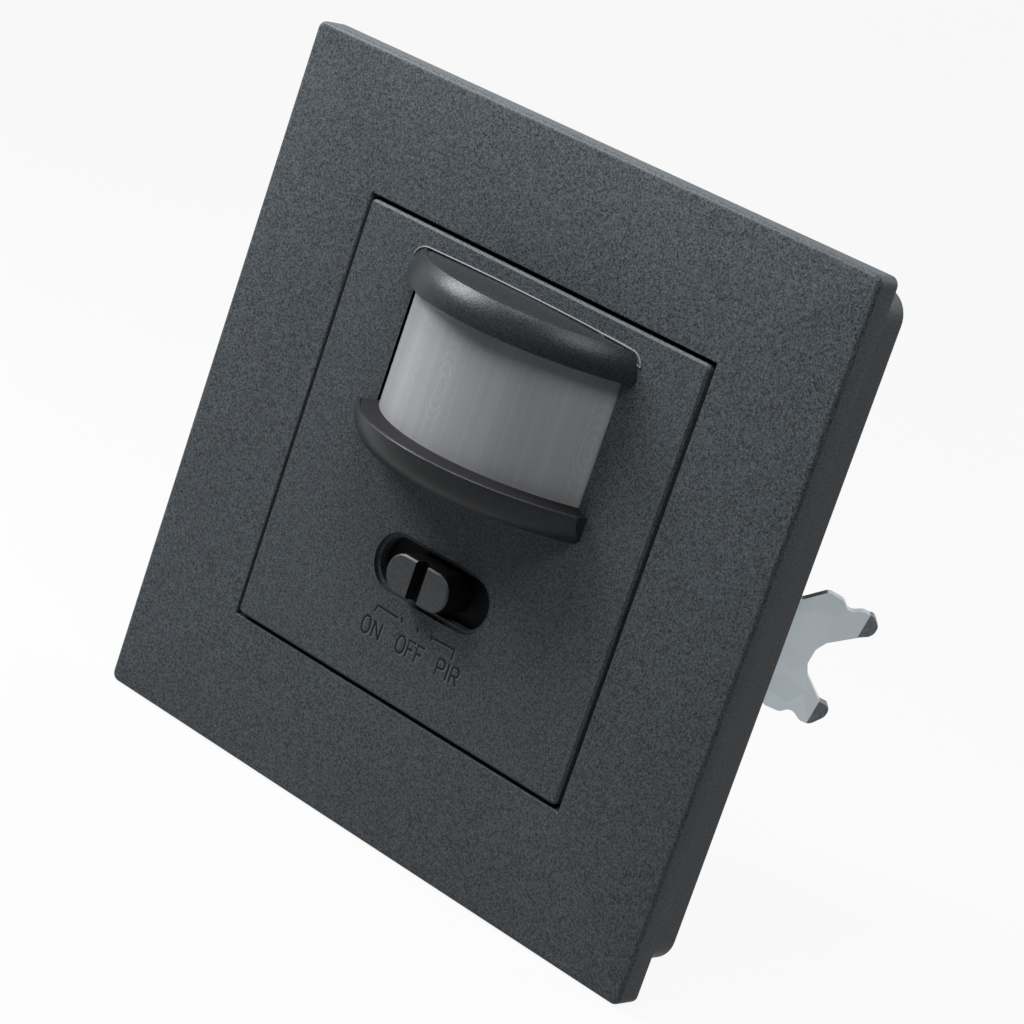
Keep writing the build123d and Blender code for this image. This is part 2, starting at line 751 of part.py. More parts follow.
# Varistor: a flat disc on two legs
disc_y = main_board_y - disc_r - disc_thick / 4
with BuildPart() as varistor:
    with BuildSketch(Plane.YZ.offset(disc_x - disc_thick / 2)):
        with Locations((disc_y, disc_z)):
            Circle(disc_r)
    extrude(amount=disc_thick)
    with BuildSketch(facing(main_board_y)):
        with Locations((disc_x, disc_z)):
            with GridLocations(0, disc_r, 1, 2):
                Rectangle(pin_size, pin_size)
    extrude(amount=main_board_y - disc_y)
varistor.part.label = "varistor"

# Terminal block: three chambers with wire entries from below and screw wells from behind
chamber_front_y = main_back_y + chamber_floor
shoulder_y = drum_inside_y - block_back
chamber_back_y = shoulder_y - block_shoulder
wire_y = chamber_front_y + clamp_fit + clamp_floor + clamp_window / 2
with BuildPart() as terminal_block:
    with BuildSketch(facing(drum_inside_y)):
        with Locations((0, (block_low_z + block_high_z) / 2)):
            Rectangle(2 * block_half, block_high_z - block_low_z)
    extrude(amount=drum_inside_y - main_back_y)
    with BuildSketch(facing(chamber_back_y)):
        with Locations((0, chamber_at_z)):
            with GridLocations(pole_pitch, 0, 3, 1):
                Rectangle(chamber_x, chamber_z)
    extrude(amount=chamber_back_y - chamber_front_y, mode=Mode.SUBTRACT)
    with BuildSketch(facing(shoulder_y)):
        with Locations((0, chamber_at_z)):
            with GridLocations(pole_pitch, 0, 3, 1):
                Circle(terminal_screw_r + head_fit)
    extrude(amount=block_shoulder, mode=Mode.SUBTRACT)
    with BuildSketch(facing(drum_inside_y)):
        with Locations((0, chamber_at_z)):
            with GridLocations(pole_pitch, 0, 3, 1):
                Rectangle(2 * (terminal_head_r + head_fit), 2 * (terminal_head_r + head_fit))
    extrude(amount=block_back, mode=Mode.SUBTRACT)
    with BuildSketch(Plane.XY.offset(block_low_z)):
        with Locations((0, wire_y)):
            with GridLocations(pole_pitch, 0, 3, 1):
                Rectangle(wire_side, wire_side)
    extrude(amount=chamber_at_z - block_low_z, mode=Mode.SUBTRACT)
terminal_block.part.label = "terminal_block"

# Terminal screws: a head in its well and a short shank that clamps the wire
head_front_y = shoulder_y + joint_gap
clamp_y = chamber_front_y + clamp_fit
plate_y = clamp_y + clamp_floor + clamp_window
with BuildPart() as terminal_screw_2:
    with BuildSketch(facing(head_front_y + terminal_head)):
        with Locations((0, chamber_at_z)):
            Circle(terminal_head_r)
    extrude(amount=terminal_head)
    with BuildSketch(facing(head_front_y)):
        with Locations((0, chamber_at_z)):
            Circle(terminal_screw_r)
    extrude(amount=head_front_y - plate_y)
terminal_screw_2.part.label = "terminal_screw_2"

with BuildPart() as terminal_screw_1:
    add(terminal_screw_2.part.moved(Location((-pole_pitch, 0, 0))))
terminal_screw_1.part.label = "terminal_screw_1"

with BuildPart() as terminal_screw_3:
    add(terminal_screw_2.part.moved(Location((pole_pitch, 0, 0))))
terminal_screw_3.part.label = "terminal_screw_3"

# Terminal clamps: rising cages with a window for the wire and a threaded plate
with BuildPart() as terminal_clamp_2:
    with BuildSketch(facing(plate_y + clamp_plate)):
        with Locations((0, chamber_at_z)):
            Rectangle(chamber_x - 2 * clamp_fit, chamber_z - 2 * clamp_fit)
    extrude(amount=plate_y + clamp_plate - clamp_y)
    with BuildSketch(facing(plate_y)):
        with Locations((0, chamber_at_z)):
            Rectangle(clamp_window_x, far)
    extrude(amount=clamp_window, mode=Mode.SUBTRACT)
    with BuildSketch(facing(plate_y + clamp_plate)):
        with Locations((0, chamber_at_z)):
            Circle(terminal_screw_r + thread_fit)
    extrude(amount=clamp_plate, mode=Mode.SUBTRACT)
terminal_clamp_2.part.label = "terminal_clamp_2"

with BuildPart() as terminal_clamp_1:
    add(terminal_clamp_2.part.moved(Location((-pole_pitch, 0, 0))))
terminal_clamp_1.part.label = "terminal_clamp_1"

with BuildPart() as terminal_clamp_3:
    add(terminal_clamp_2.part.moved(Location((pole_pitch, 0, 0))))
terminal_clamp_3.part.label = "terminal_clamp_3"

# Claws: bent sheet steel with a slotted foot behind the ring and a forked arm, hung down a little
foot_y = joint_gap
arm = radians(claw_angle)
tip = radians(claw_angle + claw_tip_angle)
arm_end = (claw_bend_x + claw_arm * cos(arm), foot_y + claw_arm * sin(arm))
tip_end = (arm_end[0] + claw_tip * cos(tip), arm_end[1] + claw_tip * sin(tip))
tip_back = (tip_end[0] - claw_thick * sin(tip), tip_end[1] + claw_thick * cos(tip))
arm_pull = claw_thick * tan(radians(claw_tip_angle / 2))
arm_back = (arm_end[0] - claw_thick * sin(arm) - arm_pull * cos(arm),
            arm_end[1] + claw_thick * cos(arm) - arm_pull * sin(arm))
bend_back = (claw_bend_x - claw_thick * tan(arm / 2), foot_y + claw_thick)
claw_prong = (
    (5.5, claw_foot_half), (10.9, 5.2), (13.0, 7.25), (14.9, 7.15), (15.75, 6.2), (17.2, 7.05),
    (18.5, 6.95), (19.64, 5.85), (19.6, 4.6), (18.1, 4.2), (15.5, 2.1), (14.85, 0.9),
)
arm_plane = Plane(origin=(claw_bend_x, foot_y, 0), x_dir=(cos(arm), sin(arm), 0),
                  z_dir=(sin(arm), -cos(arm), 0))
claw_hang = Axis((claw_screw_x, 0, 0), (0, 1, 0))
with BuildPart() as claw_blank:
    with BuildSketch(Plane.XY) as claw_side:
        Polygon((claw_pivot_x, foot_y), (claw_bend_x, foot_y), arm_end, tip_end, tip_back,
                arm_back, bend_back, (claw_pivot_x, foot_y + claw_thick), align=None)
        fillet(claw_side.vertices().sort_by_distance((claw_bend_x, foot_y))[0], 1.4 * claw_thick)
        with Locations((claw_pivot_x, foot_y + claw_thick / 2)):
            Circle(claw_thick / 2)
    extrude(amount=claw_outline_back, both=True)
    with BuildSketch(arm_plane) as claw_half:
        Polygon((-claw_outline_back, 0), (-claw_outline_back, claw_foot_half), *claw_prong,
                (claw_prong[-1][0], 0), align=None)
        fillet([v for v in claw_half.vertices() if v.X > 0 and v.Y > 0.1], claw_round)
        mirror(about=Plane.XZ)
    extrude(amount=claw_outline_back, both=True, mode=Mode.INTERSECT)
    slot_low = claw_screw_x - claw_slot_in
    slot_high = claw_screw_x + claw_slot_out
    with BuildSketch(facing(foot_y + 2 * claw_thick)):
        with Locations(((slot_low + slot_high) / 2, 0)):
            Rectangle(slot_high - slot_low, 2 * claw_screw_r + 2 * claw_slot_side)
    extrude(amount=3 * claw_thick, mode=Mode.SUBTRACT)

with BuildPart() as claw_right:
    add(claw_blank.part.rotate(claw_hang, claw_droop))
claw_right.part.label = "claw_right"

with BuildPart() as claw_left:
    mirror(claw_right.part, about=Plane.YZ)
claw_left.part.label = "claw_left"

# Claw screws: a pan head in front of the ring and a long shank beside the drum
with BuildPart() as claw_screw_right:
    with BuildSketch(facing(-ring_thick - joint_gap)):
        with Locations((claw_screw_x, 0)):
            Circle(claw_head_r)
    extrude(amount=claw_head)
    with BuildSketch(facing(claw_screw_end)):
        with Locations((claw_screw_x, 0)):
            Circle(claw_screw_r)
    extrude(amount=claw_screw_end + ring_thick + joint_gap)
claw_screw_right.part.label = "claw_screw_right"

with BuildPart() as claw_screw_left:
    mirror(claw_screw_right.part, about=Plane.YZ)
claw_screw_left.part.label = "claw_screw_left"

# Claw nuts: flat bars across the foot's slot, turned with the claw
nut_back_y = foot_y + claw_thick + joint_gap + nut_thick
with BuildPart() as nut_blank:
    with BuildSketch(facing(nut_back_y)):
        with Locations((claw_screw_x, 0)):
            Rectangle(nut_x, nut_z)
            Circle(claw_screw_r + thread_fit, mode=Mode.SUBTRACT)
    extrude(amount=nut_thick)

with BuildPart() as claw_nut_right:
    add(nut_blank.part.rotate(claw_hang, claw_droop))
claw_nut_right.part.label = "claw_nut_right"

with BuildPart() as claw_nut_left:
    mirror(claw_nut_right.part, about=Plane.YZ)
claw_nut_left.part.label = "claw_nut_left"

pieces = (
    front_frame, rear_frame, support_ring, ring_screw_1, ring_screw_2, centre_cover, sensor_lens,
    slider_knob, switch_actuator, slide_switch_body, front_housing, sensor_board, sensor_holder,
    infrared_sensor, light_sensor, time_trimmer_body, time_trimmer_rotor, light_trimmer_body,
    light_trimmer_rotor, pin_header, back_housing, main_board, relay, film_capacitor,
    electrolytic_capacitor, varistor, terminal_block, terminal_screw_1, terminal_screw_2,
    terminal_screw_3, terminal_clamp_1, terminal_clamp_2, terminal_clamp_3, claw_right,
    claw_left, claw_screw_right, claw_screw_left, claw_nut_right, claw_nut_left,
)
for piece in pieces:
    export_step(piece.part, f"parts/{piece.part.label}.step")
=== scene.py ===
import logging
from dataclasses import dataclass
from enum import Enum
from math import asin, cos, pi, radians, sin, sqrt
from typing import Any, Callable, ClassVar, Mapping, Sequence

import bmesh
import bpy
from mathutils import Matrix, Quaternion, Vector


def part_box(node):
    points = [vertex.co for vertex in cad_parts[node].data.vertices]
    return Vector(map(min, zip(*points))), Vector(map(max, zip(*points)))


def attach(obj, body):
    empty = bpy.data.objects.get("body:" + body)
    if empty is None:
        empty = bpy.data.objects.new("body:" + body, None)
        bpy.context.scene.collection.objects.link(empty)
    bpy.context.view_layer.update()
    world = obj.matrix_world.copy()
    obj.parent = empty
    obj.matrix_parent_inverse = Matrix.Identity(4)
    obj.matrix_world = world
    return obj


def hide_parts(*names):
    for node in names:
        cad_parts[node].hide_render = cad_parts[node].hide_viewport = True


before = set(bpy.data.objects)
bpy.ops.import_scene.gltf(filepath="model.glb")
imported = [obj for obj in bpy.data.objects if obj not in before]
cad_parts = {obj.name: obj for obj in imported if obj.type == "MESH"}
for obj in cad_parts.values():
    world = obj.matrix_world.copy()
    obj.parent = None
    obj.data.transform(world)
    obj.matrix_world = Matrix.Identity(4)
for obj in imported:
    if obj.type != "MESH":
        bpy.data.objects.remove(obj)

MM = 0.001
MERGE_REACH = 0.0005
CUT_REACH = 0.00001
NEAR = 0.001
SHARP = radians(60)
COVER_FACE_Y = -10.4
LENS_AXIS_Y = 0.6
LENS_RADIUS = 18.3
CLAW_SCREW_X = 20.5
CORNER_TURNS = tuple(radians(angle) for angle in (15, 30, 45, 60, 75))
DOT_TURNS = tuple(radians(angle) for angle in range(-70, 111, 20))
WHITE = (1.0, 1.0, 1.0, 1.0)
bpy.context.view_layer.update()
Colour = tuple[float, float, float]
Point = tuple[float, float, float]
Flat = tuple[float, float]

logging.basicConfig(level=logging.INFO, format="%(name)s: %(message)s")
log = logging.getLogger("motion_detector")


class Body(str, Enum):
    """The moving bodies that a new piece may ride on."""

    BASE = "base"
    SLIDER = "slider"
    RIGHT_SCREW = "right_screw"
    LEFT_SCREW = "left_screw"
    SCREW_1 = "screw_1"
    SCREW_2 = "screw_2"
    SCREW_3 = "screw_3"


class Side(Enum):
    """The two sides of the insert, seen from the front."""

    RIGHT = 1.0
    LEFT = -1.0


# Shader bench


class Value:
    """A number that varies over a surface: arithmetic on it adds Math nodes."""

    def __init__(self, bench: "Bench", socket: bpy.types.NodeSocket) -> None:
        """Wrap one float output.

        Args:
            bench: the material that the socket belongs to.
            socket: the output that carries the number.
        """
        self.bench = bench
        self.socket = socket

    def __add__(self, other: "Operand") -> "Value":
        """Return the sum."""
        return self.bench.maths("ADD", self, other)

    __radd__ = __add__

    def __sub__(self, other: "Operand") -> "Value":
        """Return self less the other."""
        return self.bench.maths("SUBTRACT", self, other)

    def __rsub__(self, other: "Operand") -> "Value":
        """Return the other less self."""
        return self.bench.maths("SUBTRACT", other, self)

    def __mul__(self, other: "Operand") -> "Value":
        """Return the product."""
        return self.bench.maths("MULTIPLY", self, other)

    __rmul__ = __mul__

    def __pow__(self, other: "Operand") -> "Value":
        """Return self raised to the other."""
        return self.bench.maths("POWER", self, other)

    def __gt__(self, other: "Operand") -> "Value":
        """Return 1 where self is the larger, else 0."""
        return self.bench.maths("GREATER_THAN", self, other)

    def sine(self) -> "Value":
        """Return the sine of the number."""
        return self.bench.maths("SINE", self)

    def root(self) -> "Value":
        """Return the square root of the number."""
        return self.bench.maths("SQRT", self)

    def fade(self, low: float, high: float) -> "Value":
        """Return a smooth step of the number.

        Args:
            low: the level that gives 0.
            high: the level that gives 1; it may be the lower of the two.

        Returns:
            A number from 0 to 1.
        """
        node = self.bench.node(
            "ShaderNodeMapRange",
            {"interpolation_type": "SMOOTHSTEP", "clamp": True},
            {0: self, 1: low, 2: high, 3: 0.0, 4: 1.0},
        )
        return Value(self.bench, node.outputs[0])


Operand = Value | float


class Bench:
    """One material or world under construction, with the node makers that the finishes use."""

    def __init__(self, name: str, world: bool = False) -> None:
        """Start an empty material or world.

        Args:
            name: the finish's name.
            world: whether it is a world.
        """
        self.holder = (bpy.data.worlds if world else bpy.data.materials).new(name)
        self.holder.use_nodes = True
        self.tree = self.holder.node_tree
        self.tree.nodes.clear()
        self._place: bpy.types.NodeSocket | None = None

    def node(
        self, kind: str, settings: Mapping[str, Any], sockets: Mapping[int | str, Any]
    ) -> bpy.types.Node:
        """Add a node.

        Args:
            kind: the node's type.
            settings: properties that are set first.
            sockets: values or links by input name or number.

        Returns:
            The node.
        """
        node = self.tree.nodes.new(kind)
        for key, setting in settings.items():
            setattr(node, key, setting)
        for key, source in sockets.items():
            socket = node.inputs[key]
            if isinstance(source, Value):
                self.tree.links.new(source.socket, socket)
            elif isinstance(source, bpy.types.NodeSocket):
                self.tree.links.new(source, socket)
            else:
                socket.default_value = source
        return node

    def maths(self, operation: str, *operands: Operand) -> Value:
        """Return the result of one Math node."""
        node = self.node("ShaderNodeMath", {"operation": operation}, dict(enumerate(operands)))
        return Value(self, node.outputs[0])

    def place(self) -> bpy.types.NodeSocket:
        """Return the place on the piece.

        Returns:
            The place's output, in metres.
        """
        if self._place is None:
            self._place = self.node("ShaderNodeTexCoord", {}, {}).outputs["Object"]
        return self._place

    def axes(self) -> tuple[Value, Value, Value]:
        """Return the place on the piece as three numbers.

        Returns:
            The place along x, y and z, in millimetres.
        """
        split = self.node("ShaderNodeSeparateXYZ", {}, {0: self.place()})
        x, y, z = (Value(self, out) * (1 / MM) for out in split.outputs)
        return x, y, z

    def stretched(self, scale: Point) -> bpy.types.NodeSocket:
        """Return the place on the piece, stretched along its axes.

        Args:
            scale: the factor along each axis.

        Returns:
            The stretched place's output.
        """
        node = self.node(
            "ShaderNodeVectorMath", {"operation": "MULTIPLY"}, {0: self.place(), 1: scale}
        )
        return node.outputs[0]

    def noise(
        self,
        size: float,
        detail: float = 2.0,
        roughness: float = 0.5,
        along: bpy.types.NodeSocket | None = None,
    ) -> Value:
        """Return a noise from about -0.5 to 0.5.

        Args:
            size: the size of its patches, in millimetres.
            detail: how many finer octaves it has.
            roughness: how strong those are.
            along: the place to read, or None for the piece's own.

        Returns:
            The noise.
        """
        node = self.node(
            "ShaderNodeTexNoise",
            {"noise_dimensions": "3D"},
            {
                "Vector": along or self.place(),
                "Scale": 1 / MM / size,
                "Detail": detail,
                "Roughness": roughness,
            },
        )
        return Value(self, node.outputs[0]) - 0.5

    def cells(self, size: float) -> Value:
        """Return a number that is constant in each cell.

        Args:
            size: the size of the cells, in millimetres.

        Returns:
            A number from 0 to 1.
        """
        node = self.node(
            "ShaderNodeTexVoronoi", {}, {"Vector": self.place(), "Scale": 1 / MM / size}
        )
        split = self.node("ShaderNodeSeparateColor", {}, {0: node.outputs["Color"]})
        return Value(self, split.outputs[0])

    def tinted(self, colour: Colour, tone: Operand) -> bpy.types.NodeSocket:
        """Return a colour made lighter or darker over the surface.

        Args:
            colour: the linear colour.
            tone: the factor, 1 for the colour itself.

        Returns:
            The colour output.
        """
        node = self.node(
            "ShaderNodeVectorMath", {"operation": "SCALE"}, {0: colour, "Scale": tone}
        )
        return node.outputs[0]

    def mixed(
        self,
        factor: Value,
        first: Colour | bpy.types.NodeSocket,
        second: Colour | bpy.types.NodeSocket,
    ) -> bpy.types.NodeSocket:
        """Return a mix of two colours.

        Args:
            factor: 0 for the first and 1 for the second.
            first: a linear colour or a colour output.
            second: the other one.

        Returns:
            The mixed colour's output.
        """
        first, second = (
            (*colour, 1.0) if isinstance(colour, tuple) else colour for colour in (first, second)
        )
        node = self.node(
            "ShaderNodeMix", {"data_type": "RGBA"}, {0: factor, 6: first, 7: second}
        )
        return node.outputs[2]

    def relief(self, height: Value, depth: float, strength: float) -> bpy.types.NodeSocket:
        """Return the normal of a relief.

        Args:
            height: the relief from 0 to 1.
            depth: its full depth in millimetres.
            strength: how much of it shows.

        Returns:
            The normal output.
        """
        node = self.node(
            "ShaderNodeBump", {}, {"Strength": strength, "Distance": depth * MM, "Height": height}
        )
        return node.outputs[0]

    def surface(self, **sockets: Any) -> bpy.types.Material:
        """Finish the material with one Principled shader.

        Args:
            **sockets: its inputs, with underscores for spaces.

        Returns:
            The material.
        """
        named = {key.replace("_", " "): source for key, source in sockets.items()}
        shader = self.node("ShaderNodeBsdfPrincipled", {}, named)
        self.node("ShaderNodeOutputMaterial", {}, {"Surface": shader.outputs[0]})
        return self.holder

    def backdrop_rays(self) -> Value:
        """Return where the background is seen, straight, mirrored or through something.

        Returns:
            1 for those rays and 0 for the rays that light the object.
        """
        path = self.node("ShaderNodeLightPath", {}, {})
        seen, mirrored, through = (
            Value(self, path.outputs[f"Is {kind} Ray"])
            for kind in ("Camera", "Glossy", "Transmission")
        )
        return self.maths("MAXIMUM", self.maths("MAXIMUM", seen, mirrored), through)

    def blended(
        self, share: Operand, first: bpy.types.Node, second: bpy.types.Node
    ) -> bpy.types.NodeSocket:
        """Return a mix of two shaders.

        Args:
            share: 0 for the first and 1 for the second.
            first: a shader node.
            second: the other one.

        Returns:
            The mixed shader's output.
        """
        sockets = {0: share, 1: first.outputs[0], 2: second.outputs[0]}
        return self.node("ShaderNodeMixShader", {}, sockets).outputs[0]


# Finishes


@dataclass(frozen=True)
class GrainedPlastic:
    """Fine grained anthracite plastic with pale and dark flecks."""

    name: str
    colour: Colour
    grain: float = 0.22
    fleck: float = 2.9
    drift: float = 14.0
    roughness: float = 0.5
    relief: float = 0.03
    sheen: float = 0.16

    def material(self) -> bpy.types.Material:
        """Return the finish as a material."""
        bench = Bench(self.name)
        grain = bench.noise(self.grain, 1.5, 0.6)
        fine = bench.noise(self.grain * 0.55, 1.0)
        drift = bench.noise(self.drift)
        tone = 1.0 + grain * self.fleck + fine * self.fleck * 0.6 + drift * 0.12
        return bench.surface(
            Base_Color=bench.tinted(self.colour, tone),
            Roughness=self.roughness + grain * 0.25 + drift * 0.08,
            Normal=bench.relief(grain + fine * 0.5, self.relief, 0.8),
            Specular_IOR_Level=self.sheen,
        )


@dataclass(frozen=True)
class MouldedPlastic:
    """Plain moulded plastic with faint flow marks."""

    name: str
    colour: Colour
    roughness: float = 0.4
    relief: float = 0.01
    sheen: float = 0.4
    flow: float = 6.0
    flow_lines: Point = (1.0, 1.0, 0.35)
    grain: float = 0.35

    def material(self) -> bpy.types.Material:
        """Return the finish as a material."""
        bench = Bench(self.name)
        flow = bench.noise(self.flow, 3.0, 0.55, bench.stretched(self.flow_lines))
        grain = bench.noise(self.grain)
        return bench.surface(
            Base_Color=bench.tinted(self.colour, 1.0 + flow * 0.16 + grain * 0.12),
            Roughness=self.roughness + flow * 0.12 + grain * 0.1,
            Normal=bench.relief(grain + flow * 0.6, self.relief, 0.7),
            Specular_IOR_Level=self.sheen,
        )


@dataclass(frozen=True)
class LensPlastic:
    """Milky lens plastic with upright ribs and the rings of small lenses behind it."""

    name: str
    colour: Colour
    ring_places: tuple[tuple[float, float, float], ...] = (
        (-9.2, 14.8, 2.4),
        (-6.3, 14.2, 2.2),
        (-1.6, 11.4, 2.8),
        (16.4, 11.2, 3.0),
    )
    ring_pitch: float = 0.46
    band_pitch: float = 1.35
    broad: float = 3.4
    rib: float = 0.9
    cloud: float = 5.0

    def material(self) -> bpy.types.Material:
        """Return the finish as a material."""
        bench = Bench(self.name)
        x, y, z = bench.axes()
        along = bench.maths("ARCTAN2", x, LENS_AXIS_Y - y) * LENS_RADIUS
        flat = bench.node("ShaderNodeCombineXYZ", {}, {0: along * MM, 1: z * (MM * 0.02)})
        broad = bench.noise(self.broad, 1.0, 0.5, flat.outputs[0])
        ribs = bench.noise(self.rib, 1.5, 0.6, flat.outputs[0])
        lean = along + z * 0.02 + broad * 1.6
        seam = ((lean * (pi / self.band_pitch)).sine() ** 2.0).fade(0.93, 1.0)
        cloud = bench.noise(self.cloud)
        rings: Value | None = None
        for place, height, reach in self.ring_places:
            run = ((along - place) ** 2.0 + ((z - height) * 0.4) ** 2.0).root() + cloud * 0.5
            ring = (run * (2.0 * pi / self.ring_pitch)).sine() * run.fade(reach, reach * 0.35)
            rings = ring if rings is None else rings + ring
        tone = 1.0 + broad * 0.3 + ribs * 0.2 + seam * 0.08 + rings * 0.055 + cloud * 0.08
        return bench.surface(
            Base_Color=bench.tinted(self.colour, tone),
            Roughness=0.36 + ribs * 0.12 + cloud * 0.06,
            Normal=bench.relief(ribs * 0.5 + seam * 0.3 + rings * 0.15, 0.02, 0.5),
            Specular_IOR_Level=0.3,
        )


@dataclass(frozen=True)
class ClawBendShade:
    """Where the tips of the claws are bent over, and the painted shade that darkens their steel
    past the bend.
    """

    start_x: float = 24.33
    start_y: float = 0.05
    angle: float = 40.0
    droop: float = 11.3
    reach: float = 18.0
    blur: float = 0.05
    # Painted shade: the colour factor of the tips past the bend, standing in for the dark they
    # reflect.
    tone: float = 0.2

    def along(self, bench: Bench) -> Value:
        """Return the distance along a claw's arm, in millimetres.

        Args:
            bench: the material under construction.

        Returns:
            The distance from the bend at its foot.
        """
        x, y, z = bench.axes()
        lean, arm = radians(self.droop), radians(self.angle)
        out = (bench.maths("ABSOLUTE", x) - CLAW_SCREW_X) * cos(lean) - z * sin(lean)
        return (out + (CLAW_SCREW_X - self.start_x)) * cos(arm) + (y - self.start_y) * sin(arm)


@dataclass(frozen=True)
class ZincSteel:
    """Zinc plated steel with a soft mottle and fine drawing lines."""

    name: str
    colour: Colour
    roughness: float
    mottle: float
    bend: ClawBendShade | None = None
    line: float = 0.16
    line_run: Point = (1.0, 1.0, 0.06)
    pit: float = 0.5

    def material(self) -> bpy.types.Material:
        """Return the finish as a material.

        Returns:
            The material, with painted shade darkening the tips where the finish has a bend.
        """
        bench = Bench(self.name)
        spangle = bench.cells(self.mottle)
        haze = bench.noise(self.mottle * 2.0, 3.0)
        drawn = bench.noise(self.line, along=bench.stretched(self.line_run))
        pits = bench.noise(self.pit, 3.0, 0.6)
        tone = 0.95 + spangle * 0.08 + haze * 0.22 + drawn * 0.1
        # Painted shade: the tips past the bend are darkened, standing in for the dark they
        # reflect.
        if self.bend:
            start, end = self.bend.reach - self.bend.blur, self.bend.reach + self.bend.blur
            past = self.bend.along(bench).fade(start, end)
            tone = tone * (1.0 - past * (1.0 - self.bend.tone + pits * 0.3))
        return bench.surface(
            Base_Color=bench.tinted(self.colour, tone),
            Metallic=1.0,
            Roughness=self.roughness + haze * 0.16 + drawn * 0.12,
            Normal=bench.relief(drawn * 0.6 + pits, 0.01, 0.55),
        )


@dataclass(frozen=True)
class TurnedMetal:
    """A turned or pressed metal such as brass or aluminium."""

    name: str
    colour: Colour
    roughness: float
    tarnish: Colour
    tarnish_amount: float
    haze: float = 1.6
    line: float = 0.12
    line_run: Point = (1.0, 6.0, 1.0)

    def material(self) -> bpy.types.Material:
        """Return the finish as a material."""
        bench = Bench(self.name)
        haze = bench.noise(self.haze, 3.0, 0.6)
        turned = bench.noise(self.line, 1.0, 0.5, bench.stretched(self.line_run))
        spots = (haze * 2.0 + 0.4).fade(0.5, 1.3) * self.tarnish_amount
        base = bench.mixed(spots, bench.tinted(self.colour, 1.0 + turned * 0.14), self.tarnish)
        return bench.surface(
            Base_Color=base,
            Metallic=1.0,
            Roughness=self.roughness + spots * 0.35 + turned * 0.1,
            Normal=bench.relief(turned, 0.008, 0.5),
        )


@dataclass(frozen=True)
class BoardLacquer:
    """Green board lacquer over faint copper tracks."""

    name: str
    colour: Colour
    track: Colour = (0.05, 0.24, 0.09)
    weave: float = 9.0
    track_size: float = 3.2
    haze: float = 4.0

    def material(self) -> bpy.types.Material:
        """Return the finish as a material."""
        bench = Bench(self.name)
        x, _, z = bench.axes()
        weave = (x * self.weave).sine() * (z * self.weave).sine()
        tracks = bench.cells(self.track_size) > 0.55
        haze = bench.noise(self.haze)
        return bench.surface(
            Base_Color=bench.mixed(tracks * 0.7 + haze * 0.2, self.colour, self.track),
            Roughness=0.28 + haze * 0.12,
            Normal=bench.relief(weave * 0.2 + tracks, 0.02, 0.5),
            Coat_Weight=0.3 + haze * 0.2,
        )


@dataclass(frozen=True)
class MarkPaintedLight:
    """The painted shade in an engraved mark's groove, or the painted highlight on its lit edge."""

    name: str
    colour: Colour
    grain: float = 0.2
    roughness: float = 0.6
    sheen: float = 0.2

    def material(self) -> bpy.types.Material:
        """Return the finish as a material."""
        bench = Bench(self.name)
        grain = bench.noise(self.grain)
        return bench.surface(
            Base_Color=bench.tinted(self.colour, 1.0 + grain * 0.5),
            Roughness=self.roughness + grain * 0.2,
            Specular_IOR_Level=self.sheen,
        )


# Mesh helpers


def linked(name: str, data: bpy.types.ID) -> bpy.types.Object:
    """Show a mesh, lamp or camera in the scene.

    Args:
        name: the object's name.
        data: what it shows.

    Returns:
        The object.
    """
    made = bpy.data.objects.new(name, data)
    bpy.context.scene.collection.objects.link(made)
    return made


